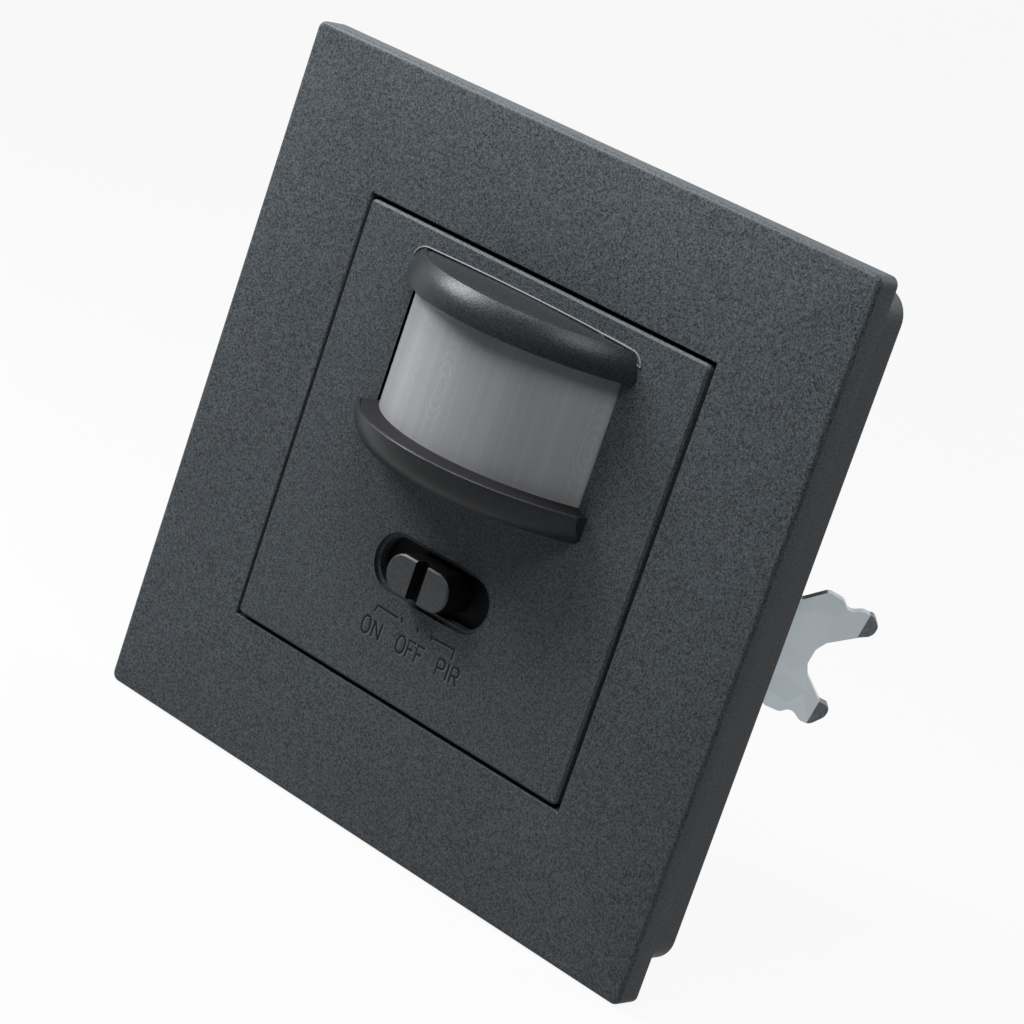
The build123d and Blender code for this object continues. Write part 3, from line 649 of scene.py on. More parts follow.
class Shape:
    """A bmesh in millimetres that becomes one finished piece."""

    def __init__(self, bm: bmesh.types.BMesh | None = None) -> None:
        """Start from a bmesh, or from nothing.

        Args:
            bm: a bmesh in millimetres, or None.
        """
        self.bm = bm or bmesh.new()

    @classmethod
    def of_node(cls, node: str) -> "Shape":
        """Return a merged copy of a CAD node.

        Args:
            node: the CAD node's name.

        Returns:
            The copy, in millimetres.
        """
        bm = bmesh.new()
        bm.from_mesh(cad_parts[node].data)
        bm.transform(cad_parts[node].matrix_world)
        bmesh.ops.scale(bm, vec=(1 / MM,) * 3, verts=bm.verts)
        bmesh.ops.remove_doubles(bm, verts=bm.verts, dist=MERGE_REACH)
        return cls(bm)

    @classmethod
    def of_strokes(cls, runs: Sequence[Sequence[Point]], radius: float) -> "Shape":
        """Return round strokes through runs of points.

        Args:
            runs: the strokes, in millimetres.
            radius: half their width.

        Returns:
            The strokes as one shape.
        """
        data = bpy.data.curves.new("strokes", "CURVE")
        data.dimensions = "3D"
        data.bevel_depth = radius
        data.bevel_resolution = 2
        data.use_fill_caps = True
        for run in runs:
            spline = data.splines.new("POLY")
            spline.points.add(len(run) - 1)
            for point, place in zip(spline.points, run):
                point.co = (*place, 1.0)
        carrier = bpy.data.objects.new("strokes", data)
        mesh = bpy.data.meshes.new_from_object(carrier)
        bm = bmesh.new()
        bm.from_mesh(mesh)
        bpy.data.objects.remove(carrier)
        bpy.data.meshes.remove(mesh)
        return cls(bm)

    def wire(self, points: Sequence[Point], closed: bool = False) -> list[bmesh.types.BMEdge]:
        """Add a run of edges through points.

        Args:
            points: the places, in millimetres.
            closed: whether the last joins the first.

        Returns:
            The edges.
        """
        verts = [self.bm.verts.new(point) for point in points]
        pairs = list(zip(verts, verts[1:])) + ([(verts[-1], verts[0])] if closed else [])
        return [self.bm.edges.new(pair) for pair in pairs]

    def turned(
        self,
        edges: list[bmesh.types.BMEdge],
        centre: Point,
        axis: Point,
        angle: float,
        steps: int,
        rise: float = 0.0,
    ) -> None:
        """Spin edges about an axis.

        Args:
            edges: the profile.
            centre: a point on the axis.
            axis: its direction.
            angle: the turn in radians; a full one is merged.
            steps: how many steps it has.
            rise: how far it climbs along the axis, in millimetres.
        """
        verts = dict.fromkeys(vert for edge in edges for vert in edge.verts)
        bmesh.ops.spin(
            self.bm,
            geom=[*verts, *edges],
            cent=centre,
            axis=axis,
            dvec=[part * rise / steps for part in axis],
            angle=angle,
            steps=steps,
            use_merge=angle == 2 * pi,
            use_duplicate=False,
        )
        bmesh.ops.remove_doubles(self.bm, verts=self.bm.verts, dist=MERGE_REACH)

    def cut(self, place: Point, normal: Point, fill: bool = True) -> None:
        """Cut the shape at a plane and keep what lies behind it.

        Args:
            place: a point on the plane.
            normal: the direction of what goes.
            fill: whether the cut is closed.
        """
        geom = [*self.bm.verts, *self.bm.edges, *self.bm.faces]
        cut = bmesh.ops.bisect_plane(
            self.bm, geom=geom, dist=CUT_REACH, plane_co=place, plane_no=normal, clear_outer=True
        )
        if fill:
            edges = [item for item in cut["geom_cut"] if isinstance(item, bmesh.types.BMEdge)]
            bmesh.ops.holes_fill(self.bm, edges=edges, sides=0)

    def extruded(self, edges: list[bmesh.types.BMEdge]) -> list[bmesh.types.BMVert]:
        """Extrude edges without moving them.

        Args:
            edges: the edges.

        Returns:
            The new corners.
        """
        geom = bmesh.ops.extrude_edge_only(self.bm, edges=edges)["geom"]
        return [item for item in geom if isinstance(item, bmesh.types.BMVert)]

    def sharp_edges(self, test: Callable[[Vector], bool]) -> list[bmesh.types.BMEdge]:
        """Return the sharp edges that lie in some place.

        Args:
            test: whether a point lies there.

        Returns:
            The edges that have both ends there.
        """
        return [
            edge
            for edge in self.bm.edges
            if len(edge.link_faces) == 2
            and edge.calc_face_angle(0.0) > SHARP
            and all(test(vert.co) for vert in edge.verts)
        ]

    def rounded(self, edges: list[bmesh.types.BMEdge], size: float, segments: int) -> None:
        """Round edges.

        Args:
            edges: the edges.
            size: the width of the rounding, in millimetres.
            segments: how many faces it has.
        """
        bmesh.ops.bevel(
            self.bm,
            geom=edges,
            offset=size,
            offset_type="OFFSET",
            segments=segments,
            profile=0.5,
            affect="EDGES",
            clamp_overlap=True,
            material=-1,
        )

    def outward(self) -> None:
        """Turn every face outwards."""
        bmesh.ops.recalc_face_normals(self.bm, faces=self.bm.faces)

    def piece(
        self,
        name: str,
        material: bpy.types.Material,
        body: Body,
        slot: str,
        replaces: Sequence[str] = (),
        crease: float = 32.0,
        second: bpy.types.Material | None = None,
    ) -> bpy.types.Object:
        """Make the shape an object that rides on a body.

        Args:
            name: the piece's name.
            material: its finish.
            body: the body that it rides on.
            slot: the record's material slot; not used.
            replaces: CAD nodes that it stands for.
            crease: the angle past which an edge stays sharp.
            second: the finish of the faces that were given index 1.

        Returns:
            The object.
        """
        bmesh.ops.scale(self.bm, vec=(MM,) * 3, verts=self.bm.verts)
        mesh = bpy.data.meshes.new(name)
        self.bm.to_mesh(mesh)
        self.bm.free()
        if "custom_normal" in mesh.attributes:
            mesh.attributes.remove(mesh.attributes["custom_normal"])
        mesh.shade_smooth()
        mesh.set_sharp_from_angle(angle=radians(crease))
        mesh.materials.append(material)
        if second:
            mesh.materials.append(second)
        made = linked(name, mesh)
        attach(made, body.value)
        if replaces:
            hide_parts(*replaces)
        log.info("%s: %d faces", name, len(mesh.polygons))
        return made


def dressed(material: bpy.types.Material, *nodes: str) -> None:
    """Give CAD nodes a finish.

    Args:
        material: the finish.
        *nodes: the nodes' names.
    """
    for name in nodes:
        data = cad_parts[name].data
        if not data.materials:
            data.materials.append(material)
        for place in range(len(data.materials)):
            data.materials[place] = material
        log.info("%s: %s", name, material.name)


# Sub-assemblies


@dataclass
class TrimFrame:
    """The flat square front frame and the stepped frame piece behind it."""

    size: float = 80.0
    opening: float = 50.1
    face_y: float = -10.2
    depth: float = 3.15
    wall: float = 1.6
    rim: float = 3.2
    collar_wall: float = 1.2
    collar_depth: float = 6.7
    corner: float = 1.0
    edge: float = 0.45
    opening_edge: float = 0.22
    plastic: GrainedPlastic = GrainedPlastic("frame_grain", (0.045, 0.052, 0.058))

    def blank(self) -> Shape:
        """Turn the frame's profile into its four mitred sides.

        Returns:
            The frame with sharp edges.
        """
        half, hole = self.size / 2, self.opening / 2
        back, web = self.face_y + self.depth, self.face_y + self.wall
        collar = self.face_y + self.collar_depth
        outline = (
            (half, self.face_y),
            (half, back),
            (half - self.rim, back),
            (half - self.rim, web),
            (hole + self.collar_wall, web),
            (hole + self.collar_wall, collar),
            (hole, collar),
            (hole, self.face_y),
        )
        shape = Shape()
        edges = shape.wire([(reach, y, reach) for reach, y in outline], closed=True)
        shape.turned(edges, (0, 0, 0), (0, 1, 0), 2 * pi, 4)
        shape.outward()
        return shape

    def on_face(self, point: Vector, low: float, high: float) -> bool:
        """Return whether a point lies on the face, between two squares about its middle.

        Args:
            point: the point.
            low: half the side of the inner square.
            high: half the side of the outer square.

        Returns:
            Whether it does.
        """
        reach = max(abs(point.x), abs(point.z))
        return abs(point.y - self.face_y) < NEAR and low - NEAR < reach < high + NEAR

    def build(self) -> None:
        """Make the front frame afresh and dress the rear one."""
        material = self.plastic.material()
        half, hole = self.size / 2, self.opening / 2
        shape = self.blank()
        corners = [
            edge
            for edge in shape.sharp_edges(lambda at: min(abs(at.x), abs(at.z)) > half - NEAR)
            if abs(edge.verts[0].co.y - edge.verts[1].co.y) > NEAR
        ]
        shape.rounded(corners, self.corner, 5)
        outer = shape.sharp_edges(lambda at: self.on_face(at, half - self.corner, half))
        shape.rounded(outer, self.edge, 4)
        inner = shape.sharp_edges(lambda at: self.on_face(at, 0.0, hole))
        shape.rounded(inner, self.opening_edge, 3)
        shape.piece("trim_front", material, Body.BASE, "frame_plastic", ("front_frame",))
        dressed(material, "rear_frame")


@dataclass(frozen=True)
class Lip:
    """The sizes of one lip, with radii about the lens's upright axis."""

    edge_r: float
    edge_z: float
    crease_r: float
    crease_z: float
    back_z: float
    seat_z: float
    corner: float
    up: float


@dataclass
class CentreCover:
    """The cover plate with the lips over and under the lens."""

    half: float = 16.5
    upper: Lip = Lip(
        edge_r=19.96, edge_z=19.13, crease_r=18.75, crease_z=22.38,
        back_z=22.6, seat_z=19.68, corner=1.7, up=1.0,
    )
    lower: Lip = Lip(
        edge_r=20.8, edge_z=4.4, crease_r=19.2, crease_z=1.17,
        back_z=1.0, seat_z=4.85, corner=1.2, up=-1.0,
    )
    band_steps: int = 10
    half_sweep: float = 82.0
    sweep_steps: int = 108
    inner: float = 10.15
    sink: float = 0.6
    plate_proud: float = 0.002
    rim: float = 0.5
    rim_round: float = 0.08
    seat_r: float = 18.4
    groove: float = 0.42
    groove_depth: float = 0.18
    groove_form: tuple[Flat, ...] = ((0.4, 0.4), (1.0, 1.0), (1.7, 0.6))
    bead: float = 0.1
    bead_proud: float = 0.02
    bead_steps: int = 12
    plastic: GrainedPlastic = GrainedPlastic("cover_grain", (0.045, 0.052, 0.058))
    # Painted shade, in part: the lips' plastic is smoother, and its base colour is darkened below
    # the cover's to stand in for the shade on the lips.
    smooth_and_shaded: GrainedPlastic = GrainedPlastic(
        "lip_grain_painted_shade", (0.017, 0.019, 0.021), fleck=1.6, roughness=0.32, relief=0.025, sheen=0.15
    )
    # Painted shade: near-black finish for the lips' ledge faces inside the rim.
    shade: MouldedPlastic = MouldedPlastic("seat_painted_shade", (0.01, 0.01, 0.011), 0.6, sheen=0.1)
    # Painted highlight: pale finish of the bead, standing in for the lit edge of the plate at the
    # hood's root.
    bead_highlight: MouldedPlastic = MouldedPlastic("bead_painted_highlight", (0.15, 0.16, 0.17), 0.5, sheen=0.3)

    def build(self) -> None:
        """Make the plate, both lips and the bead along the hood's root."""
        material = self.plastic.material()
        band, shade = self.smooth_and_shaded.material(), self.shade.material()
        plate = Shape.of_node("centre_cover")
        plate.cut((0, COVER_FACE_Y - self.plate_proud, 0), (0, -1, 0), fill=False)
        plate.piece("cover_plate", material, Body.BASE, "cover_plastic", ("centre_cover",))
        for name, lip in (("upper_lip", self.upper), ("lower_lip", self.lower)):
            self.lip(lip).piece(name, band, Body.BASE, "cover_plastic", second=shade)
        self.hood_bead().piece("hood_bead", self.bead_highlight.material(), Body.BASE, "cover_plastic")

    def band(self, lip: Lip) -> list[Flat]:
        """Return points on the arc that leaves a lip's edge upright and reaches its crease.

        Args:
            lip: the lip's sizes.

        Returns:
            Radius and height of each point.
        """
        run, rise = lip.edge_r - lip.crease_r, (lip.crease_z - lip.edge_z) * lip.up
        bend = (run * run + rise * rise) / (2 * run)
        full = asin(rise / bend) if run < bend else pi - asin(rise / bend)
        turns = [full * step / self.band_steps for step in range(self.band_steps + 1)]
        return [
            (lip.edge_r - bend * (1 - cos(turn)), lip.edge_z + lip.up * bend * sin(turn))
            for turn in turns
        ]

    def section(self, lip: Lip) -> list[Flat]:
        """Return a lip's section, with a groove behind the crease of the upper one.

        Args:
            lip: the lip's sizes.

        Returns:
            Radius and height of each point.
        """
        outline = self.band(lip)
        if lip.up > 0:
            outline += [
                (lip.crease_r - self.groove * run, lip.crease_z - self.groove_depth * depth)
                for run, depth in self.groove_form
            ]
        inside, turn = lip.edge_r - self.rim, self.rim_round
        return outline + [
            (self.inner, lip.back_z),
            (self.inner, lip.seat_z),
            (self.seat_r, lip.seat_z),
            (inside - turn, lip.edge_z + lip.up * turn),
            (inside, lip.edge_z),
            (inside + turn, lip.edge_z - lip.up * turn),
            (lip.edge_r - turn, lip.edge_z - lip.up * turn),
        ]

    def lip(self, lip: Lip) -> Shape:
        """Make one lip, turned about the upright axis and cut off at the sides and the face.

        Args:
            lip: the lip's sizes.

        Returns:
            The lip, with index 1 (painted shade) on the faces inside its rim.
        """
        shape = Shape()
        sweep = radians(self.half_sweep)
        edges = shape.wire(
            [(r * sin(-sweep), LENS_AXIS_Y - r * cos(sweep), z) for r, z in self.section(lip)],
            closed=True,
        )
        shape.turned(edges, (0, LENS_AXIS_Y, 0), (0, 0, 1), 2 * sweep, self.sweep_steps)
        bmesh.ops.holes_fill(shape.bm, edges=shape.bm.edges, sides=0)
        shape.outward()
        shape.cut((0, COVER_FACE_Y + self.sink, 0), (0, 1, 0))
        for side in Side:
            shape.cut((side.value * self.half, 0, 0), (side.value, 0, 0))
            x, z = side.value * (self.half - lip.corner), lip.crease_z - lip.up * lip.corner
            for angle in CORNER_TURNS:
                across, up = side.value * cos(angle), lip.up * sin(angle)
                place = (x + lip.corner * across, 0, z + lip.corner * up)
                shape.cut(place, (across, 0, up))
        shape.outward()
        # Painted shade: the faces inside the rim that face the lens get index 1, the near-black
        # seat finish.
        for face in shape.bm.faces:
            middle = face.calc_center_median()
            reach = sqrt(middle.x**2 + (middle.y - LENS_AXIS_Y) ** 2)
            inside = reach < lip.edge_r - self.rim and face.normal.z * lip.up < -0.1
            face.material_index = int(inside)
        return shape

    def hood_bead(self) -> Shape:
        """Return the thin round edge of the plate along the root of the hood, pale as a painted
        highlight.

        Returns:
            The bead.
        """
        y, top, corner = COVER_FACE_Y - self.bead_proud, self.upper.crease_z, self.upper.corner
        rise, reach, bow = self.upper.back_z - top, self.half - corner, corner + self.bead
        last = self.bead_steps
        run = [
            (reach * step / last, y, top + self.bead + rise * (1 - (step / last) ** 2))
            for step in range(-last, last + 1)
        ]
        for side, place in ((Side.LEFT, 0), (Side.RIGHT, len(run))):
            bend = [
                (side.value * (reach + bow * sin(angle)), y, top - corner + bow * cos(angle))
                for angle in CORNER_TURNS
            ]
            run[place:place] = bend if side is Side.RIGHT else bend[::-1]
        return Shape.of_strokes([run], self.bead)


@dataclass
class SensorLens:
    """The curved milky window between the lips."""

    low: float = 3.25
    high: float = 20.28
    wall: float = 0.8
    flange_y: float = -8.75
    steps: int = 96
    plastic: LensPlastic = LensPlastic("lens_milk", (0.228, 0.234, 0.245))

    def build(self) -> None:
        """Make the curved shell, back to where the CAD lens has its flange."""
        shape = Shape()
        reach = asin(sqrt(LENS_RADIUS**2 - (LENS_AXIS_Y - self.flange_y) ** 2) / LENS_RADIUS)
        x, y = -LENS_RADIUS * sin(reach), LENS_AXIS_Y - LENS_RADIUS * cos(reach)
        edges = shape.wire([(x, y, self.low), (x, y, self.high)])
        shape.turned(edges, (0, LENS_AXIS_Y, 0), (0, 0, 1), 2 * reach, self.steps)
        for face in shape.bm.faces:
            middle = face.calc_center_median()
            if face.normal.dot(middle - Vector((0, LENS_AXIS_Y, middle.z))) < 0:
                face.normal_flip()
        bmesh.ops.solidify(shape.bm, geom=shape.bm.faces[:], thickness=self.wall)
        shape.outward()
        shape.piece(
            "lens_shell", self.plastic.material(), Body.BASE, "lens_plastic", ("sensor_lens",)
        )


@dataclass
class SlideKnob:
    """The knob with its grip groove, and the shutter behind the slot in near-black painted shade.
    """

    grip_depth: float = 0.25
    plastic: GrainedPlastic = GrainedPlastic(
        "knob_grain", (0.033, 0.037, 0.04), fleck=1.4, roughness=0.42, sheen=0.3
    )
    slot_shade: MouldedPlastic = MouldedPlastic("shutter_painted_shade", (0.004, 0.004, 0.005), 0.6, sheen=0.1)

    def build(self) -> None:
        """Dress a smooth copy of the knob, with near-black painted shade behind its grip."""
        shape = Shape.of_node("slider_knob")
        front = min(vert.co.y for vert in shape.bm.verts)
        # Painted shade: faces deeper than the grip get the near-black finish, standing in for the
        # deep shade in the slot.
        for face in shape.bm.faces:
            face.material_index = int(face.calc_center_median().y > front + self.grip_depth)
        shape.piece(
            "knob_grip", self.plastic.material(), Body.SLIDER, "knob_plastic", ("slider_knob",),
            second=self.slot_shade.material(),
        )


@dataclass
class FunctionMarks:
    """The engraved dots, leader lines and function letters below the slot."""

    stroke: float = 0.17
    ground_proud: float = 0.016
    highlight_proud: float = 0.008
    highlight_shift: Flat = (0.1, -0.07)
    letter_top: float = -17.1
    letter_height: float = 1.9
    letter_width: float = 1.28
    dot_r: float = 0.2
    # Painted shade and highlight: the near-black ground stands in for the shade in the engraving,
    # the pale edge for its lit lower edge.
    groove_shade: MarkPaintedLight = MarkPaintedLight("mark_groove_painted_shade", (0.004, 0.004, 0.005))
    edge: MarkPaintedLight = MarkPaintedLight("mark_edge_painted_highlight", (0.1, 0.11, 0.12))

    ROUND: ClassVar[tuple[Flat, ...]] = (
        (0.3, 0), (0.08, 0.15), (0, 0.4), (0, 0.6), (0.08, 0.85), (0.3, 1), (0.6, 1),
        (0.82, 0.85), (0.9, 0.6), (0.9, 0.4), (0.82, 0.15), (0.6, 0), (0.3, 0),
    )
    BOWL: ClassVar[tuple[Flat, ...]] = (
        (0, 0), (0, 1), (0.5, 1), (0.72, 0.9), (0.78, 0.74), (0.72, 0.56), (0.5, 0.48), (0, 0.48),
    )
    LETTERS: ClassVar[dict[str, tuple[tuple[Flat, ...], ...]]] = {
        "O": (ROUND,),
        "N": (((0, 0), (0, 1)), ((0, 1), (0.85, 0)), ((0.85, 0), (0.85, 1))),
        "F": (((0, 0), (0, 1), (0.75, 1)), ((0, 0.52), (0.6, 0.52))),
        "P": (BOWL,),
        "I": (((0, 0), (0, 1)),),
        "R": (BOWL, ((0.42, 0.48), (0.8, 0))),
    }
    WORDS: ClassVar[tuple[tuple[float, tuple[tuple[str, float], ...]], ...]] = (
        (-7.2, (("O", 1.3), ("N", 1.25))),
        (-1.85, (("O", 1.25), ("F", 1.05), ("F", 1.05))),
        (4.3, (("P", 1.2), ("I", 0.45), ("R", 1.2))),
    )
    LEADERS: ClassVar[tuple[tuple[Flat, ...], ...]] = (
        ((-2.75, -15.6), (-5.85, -15.5), (-6.15, -16.3)),
        ((2.7, -15.55), (5.85, -15.45), (5.8, -16.6)),
    )
    DOTS: ClassVar[tuple[Flat, ...]] = ((-2.25, -15.65), (0.15, -15.7), (2.3, -15.6))

    def letter(self, letter: str, start: float) -> list[list[Point]]:
        """Return one letter's strokes.

        Args:
            letter: the letter.
            start: where its left edge is.

        Returns:
            The strokes as points across the cover's face.
        """
        return [
            [
                (
                    start + across * self.letter_width,
                    0.0,
                    self.letter_top + (up - 1.0) * self.letter_height,
                )
                for across, up in run
            ]
            for run in self.LETTERS[letter]
        ]

    def strokes(self) -> list[list[Point]]:
        """Return the strokes of the words, the leader lines and the open dots.

        Returns:
            The strokes as points across the cover's face.
        """
        found: list[list[Point]] = []
        for start, word in self.WORDS:
            for letter, advance in word:
                found += self.letter(letter, start)
                start += advance * self.letter_width
        found += [[(x, 0.0, z) for x, z in run] for run in self.LEADERS]
        ring = [(self.dot_r * cos(turn), self.dot_r * sin(turn)) for turn in DOT_TURNS]
        found += [[(x + across, 0.0, z + up) for across, up in ring] for x, z in self.DOTS]
        return found

    def lines(self, name: str, shift: Flat, proud: float, material: bpy.types.Material) -> None:
        """Make all strokes as one flat mesh.

        Args:
            name: the piece's name.
            shift: how far it is moved to the right and up.
            proud: how far it stands out from the face.
            material: its finish.
        """
        shape = Shape.of_strokes(self.strokes(), self.stroke)
        verts = shape.bm.verts
        bmesh.ops.scale(shape.bm, vec=(1.0, proud / self.stroke, 1.0), verts=verts)
        bmesh.ops.translate(shape.bm, vec=(shift[0], COVER_FACE_Y, shift[1]), verts=verts)
        shape.piece(name, material, Body.BASE, "cover_plastic")

    def build(self) -> None:
        """Make the marks in painted shade and the painted highlights on their lower edges."""
        self.lines("mark_painted_highlights", self.highlight_shift, self.highlight_proud, self.edge.material())
        self.lines("mark_painted_shade_strokes", (0.0, 0.0), self.ground_proud, self.groove_shade.material())


@dataclass
class Carrier:
    """The support ring, its screws, the claws and what drives them."""

    thread_r: float = 1.3
    thread_sunk: float = 0.05
    thread_proud: float = 0.02
    thread_start: float = 1.4
    thread_end: float = 10.0
    thread_share: float = 0.6
    thread_steps: int = 24
    pitch: float = 0.7
    ring: ZincSteel = ZincSteel("ring_zinc", (0.5, 0.52, 0.53), 0.4, 4.0)
    claw: ZincSteel = ZincSteel("claw_zinc", (0.4, 0.445, 0.47), 0.3, 3.0, bend=ClawBendShade())
    screw: ZincSteel = ZincSteel("screw_zinc", (0.56, 0.56, 0.55), 0.3, 1.2)

    def build(self) -> None:
        """Dress the steel pieces and wind the threads."""
        dressed(self.ring.material(), "support_ring")
        dressed(self.claw.material(), "claw_right", "claw_left")
        metal = self.screw.material()
        dressed(metal, "ring_screw_1", "ring_screw_2", "claw_nut_right", "claw_nut_left")
        dressed(metal, "claw_screw_right", "claw_screw_left")
        self.thread(Side.RIGHT, Body.RIGHT_SCREW, metal)
        self.thread(Side.LEFT, Body.LEFT_SCREW, metal)

    def thread(self, side: Side, body: Body, metal: bpy.types.Material) -> None:
        """Wind a thread round a claw screw's shank.

        Args:
            side: the side that the screw is on.
            body: the body that it turns with.
            metal: its finish.
        """
        shape = Shape()
        x, turns = CLAW_SCREW_X * side.value, (self.thread_end - self.thread_start) / self.pitch
        root, crest = x + self.thread_r - self.thread_sunk, x + self.thread_r + self.thread_proud
        start, width = self.thread_start, self.pitch * self.thread_share
        profile = ((root, start, 0), (crest, start + width / 2, 0), (root, start + width, 0))
        edges = shape.wire(profile)
        steps = int(turns * self.thread_steps)
        shape.turned(edges, (x, 0, 0), (0, 1, 0), turns * 2 * pi, steps, rise=turns * self.pitch)
        shape.piece(f"thread_{side.name.lower()}", metal, body, "screw_steel", crease=60.0)


@dataclass
class Drum:
    """The housings, the terminal block with its screws and clamps."""

    housing: MouldedPlastic = MouldedPlastic("housing_black", (0.018, 0.019, 0.021))
    block: MouldedPlastic = MouldedPlastic("block_grey", (0.36, 0.37, 0.38), 0.45)
    brass: TurnedMetal = TurnedMetal(
        "terminal_brass", (0.72, 0.55, 0.28), 0.3, (0.25, 0.19, 0.1), 0.35
    )
    slot_half: float = 0.35
    slot_depth: float = 0.9
    beyond: float = 1.0

    def build(self) -> None:
        """Dress the housings and slot the terminal screws."""
        dressed(self.housing.material(), "front_housing", "back_housing")
        dressed(self.block.material(), "terminal_block")
        metal = self.brass.material()
        for number, body in enumerate((Body.SCREW_1, Body.SCREW_2, Body.SCREW_3), start=1):
            dressed(metal, f"terminal_clamp_{number}")
            self.screw(f"terminal_screw_{number}", body, metal)

    def screw(self, node: str, body: Body, metal: bpy.types.Material) -> None:
        """Make a terminal screw with a driver slot across its head.

        Args:
            node: the CAD screw.
            body: the body that it turns with.
            metal: its finish.
        """
        low, high = (Vector(corner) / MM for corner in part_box(node))
        middle = (low.x + high.x) / 2
        start, end = middle - self.slot_half, middle + self.slot_half
        whole = bmesh.new()
        for left, right, back in (
            (low.x - self.beyond, start, high.y + self.beyond),
            (start, end, high.y - self.slot_depth),
            (end, high.x + self.beyond, high.y + self.beyond),
        ):
            part = Shape.of_node(node)
            part.cut((left, 0, 0), (-1, 0, 0))
            part.cut((right, 0, 0), (1, 0, 0))
            part.cut((0, back, 0), (0, 1, 0))
            mesh = bpy.data.meshes.new("part")
            part.bm.to_mesh(mesh)
            part.bm.free()
            whole.from_mesh(mesh)
            bpy.data.meshes.remove(mesh)
        Shape(whole).piece(f"{node}_slotted", metal, body, "terminal_brass", (node,))


@dataclass
class Electronics:
    """The boards and the components on them, inside the housings."""

    looks: tuple[tuple[BoardLacquer | MouldedPlastic | TurnedMetal, tuple[str, ...]], ...] = (
        (BoardLacquer("board_lacquer", (0.015, 0.11, 0.035)), ("sensor_board", "main_board")),
        (
            MouldedPlastic("relay_case", (0.02, 0.02, 0.024), 0.3),
            ("relay", "pin_header", "slide_switch_body", "light_sensor"),
        ),
        (
            MouldedPlastic("switch_white", (0.62, 0.62, 0.58), 0.35),
            ("switch_actuator", "time_trimmer_rotor", "light_trimmer_rotor", "sensor_holder"),
        ),
        (MouldedPlastic("film_case", (0.45, 0.36, 0.05), 0.35), ("film_capacitor",)),
        (
            MouldedPlastic("trimmer_case", (0.05, 0.14, 0.4), 0.35),
            ("time_trimmer_body", "light_trimmer_body"),
        ),
        (MouldedPlastic("disc_blue", (0.04, 0.09, 0.26), 0.25), ("varistor",)),
        (
            TurnedMetal("can_aluminium", (0.72, 0.73, 0.74), 0.28, (0.4, 0.4, 0.4), 0.2),
            ("infrared_sensor", "electrolytic_capacitor"),
        ),
    )

    def build(self) -> None:
        """Dress the boards and components."""
        for look, nodes in self.looks:
            dressed(look.material(), *nodes)


@dataclass(frozen=True)
class Lamp:
    """One soft square lamp aimed at the part, with its place and size in metres."""

    name: str
    place: Point
    size: float
    power: float

    def build(self) -> None:
        """Hang the lamp and aim it."""
        data = bpy.data.lights.new(self.name, "AREA")
        data.shape = "SQUARE"
        data.size = self.size
        data.energy = self.power
        lamp = linked(self.name, data)
        lamp.location = self.place
        lamp.visible_camera = False
        lamp.rotation_mode = "QUATERNION"
        lamp.rotation_quaternion = (-Vector(self.place)).to_track_quat("-Z", "Y")


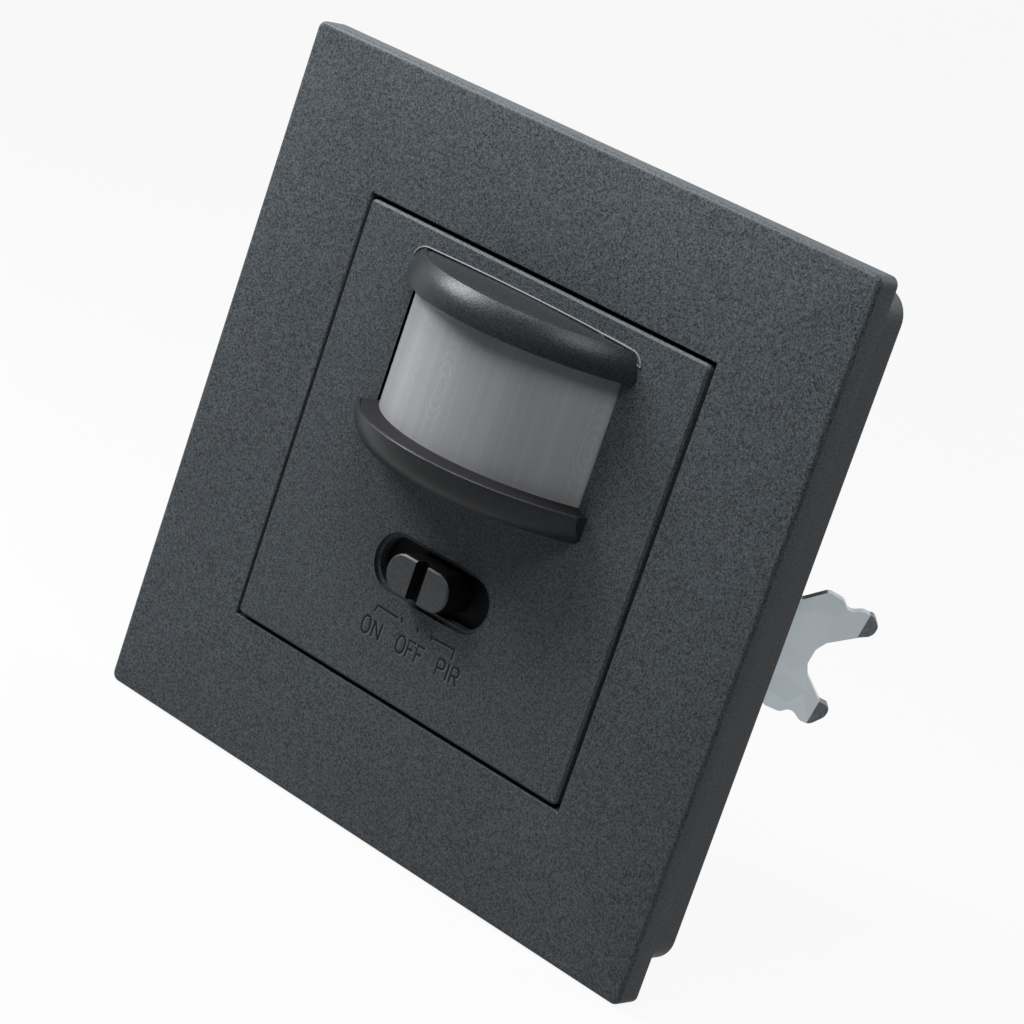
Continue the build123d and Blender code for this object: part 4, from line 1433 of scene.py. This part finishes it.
@dataclass
class Studio:
    """The pale floor, the white surroundings, the lamps and the camera, in metres."""

    floor_z: float = -0.0402
    floor_reach: float = 6.0
    floor_grey: Colour = (0.42, 0.42, 0.42)
    floor_haze: float = 80.0
    floor_glow: float = 0.93
    sky: Colour = (0.97, 0.985, 1.0)
    ambient: float = 0.1
    lens: float = 121.895
    sensor: float = 36.0
    camera_reach: Flat = (0.01, 50.0)
    camera_place: Point = (0.21746363, -0.29407284, 0.08788124)
    camera_turn: tuple[float, float, float, float] = (
        0.6963407054, 0.6097248621, 0.0943176803, 0.3666734100,
    )
    lamps: tuple[Lamp, ...] = (
        Lamp("key", (-0.185, -0.1, 0.16), 0.1, 1.0),
        Lamp("over", (0.068, -0.088, 0.145), 0.07, 0.17),
        Lamp("top", (-0.03, -0.045, 0.13), 0.04, 0.12),
        Lamp("back", (0.3, 0.6, 0.5), 0.5, 2.4),
    )
    flag_line: tuple[Flat, ...] = (
        (-0.25, -0.17), (-0.14, -0.27), (0.02, -0.3), (0.24, -0.16), (0.29, 0.1),
    )
    flag_z: float = -0.0395
    flag_height: float = 0.5
    flag_inner: float = 0.56
    flag_grey: Colour = (0.03, 0.03, 0.03)
    flag_haze: float = 50.0
    flag_roughness: float = 0.9

    @staticmethod
    def prop(name: str, bm: bmesh.types.BMesh, material: bpy.types.Material) -> bpy.types.Object:
        """Make a bmesh in metres an object of the studio.

        Args:
            name: the object's name.
            bm: the bmesh, which is used up.
            material: its finish.

        Returns:
            The object.
        """
        mesh = bpy.data.meshes.new(name)
        bm.to_mesh(mesh)
        bm.free()
        mesh.materials.append(material)
        return linked(name, mesh)

    def floor(self) -> None:
        """Lay the floor, nearly white to the eye but keeping the shadow."""
        bench = Bench("floor_pale")
        haze = bench.noise(self.floor_haze)
        colour = bench.tinted(self.floor_grey, 1.0 + haze * 0.01)
        matt = bench.node("ShaderNodeBsdfDiffuse", {}, {0: colour})
        glow = bench.node("ShaderNodeEmission", {}, {0: WHITE, 1: 1.0})
        mix = bench.blended(bench.backdrop_rays() * self.floor_glow, matt, glow)
        bench.node("ShaderNodeOutputMaterial", {}, {"Surface": mix})
        bm = bmesh.new()
        bmesh.ops.create_grid(bm, x_segments=1, y_segments=1, size=self.floor_reach)
        bmesh.ops.translate(bm, vec=(0, 0, self.floor_z), verts=bm.verts)
        floor = self.prop("floor", bm, bench.holder)

    def flag(self) -> None:
        """Stand dark panels in front and on the right, with a dark card before them.

        They keep the shade on that side of the part deep, and the camera doesn't see them.
        """
        bench = Bench("flag_dark")
        tone = 1.0 + bench.noise(self.flag_haze) * 0.1
        bench.surface(Base_Color=bench.tinted(self.flag_grey, tone), Roughness=self.flag_roughness)
        shape = Shape()
        edges = shape.wire([(x, y, self.flag_z) for x, y in self.flag_line])
        top = shape.extruded(edges)
        bmesh.ops.translate(shape.bm, vec=(0, 0, self.flag_height), verts=top)
        card = shape.extruded(edges)
        bmesh.ops.scale(shape.bm, vec=(self.flag_inner, self.flag_inner, 1.0), verts=card)
        panel = self.prop("flag", shape.bm, bench.holder)
        panel.visible_camera = False

    def surroundings(self) -> None:
        """Light the world softly and show it white."""
        bench = Bench("studio", world=True)
        soft = bench.node("ShaderNodeBackground", {}, {0: (*self.sky, 1.0), 1: self.ambient})
        white = bench.node("ShaderNodeBackground", {}, {0: WHITE, 1: 1.0})
        mix = bench.blended(bench.backdrop_rays(), soft, white)
        bench.node("ShaderNodeOutputWorld", {}, {"Surface": mix})
        bpy.context.scene.world = bench.holder

    def camera(self) -> None:
        """Set the camera at the photograph's viewing angle."""
        data = bpy.data.cameras.new("camera")
        data.lens = self.lens
        data.sensor_width = self.sensor
        data.clip_start, data.clip_end = self.camera_reach
        camera = linked("camera", data)
        camera.location = self.camera_place
        camera.rotation_mode = "QUATERNION"
        camera.rotation_quaternion = Quaternion(self.camera_turn)
        bpy.context.scene.camera = camera

    def build(self) -> None:
        """Set up the whole studio."""
        self.floor()
        self.flag()
        self.surroundings()
        for lamp in self.lamps:
            lamp.build()
        self.camera()
        bpy.context.scene.view_settings.view_transform = "Standard"


def main() -> None:
    """Build every sub-assembly in order."""
    for assembly in (
        TrimFrame(), CentreCover(), SensorLens(), SlideKnob(), FunctionMarks(), Carrier(),
        Drum(), Electronics(), Studio(),
    ):
        log.info("building %s", type(assembly).__name__)
        assembly.build()
    bpy.context.view_layer.update()


if __name__ == "__main__":
    main()
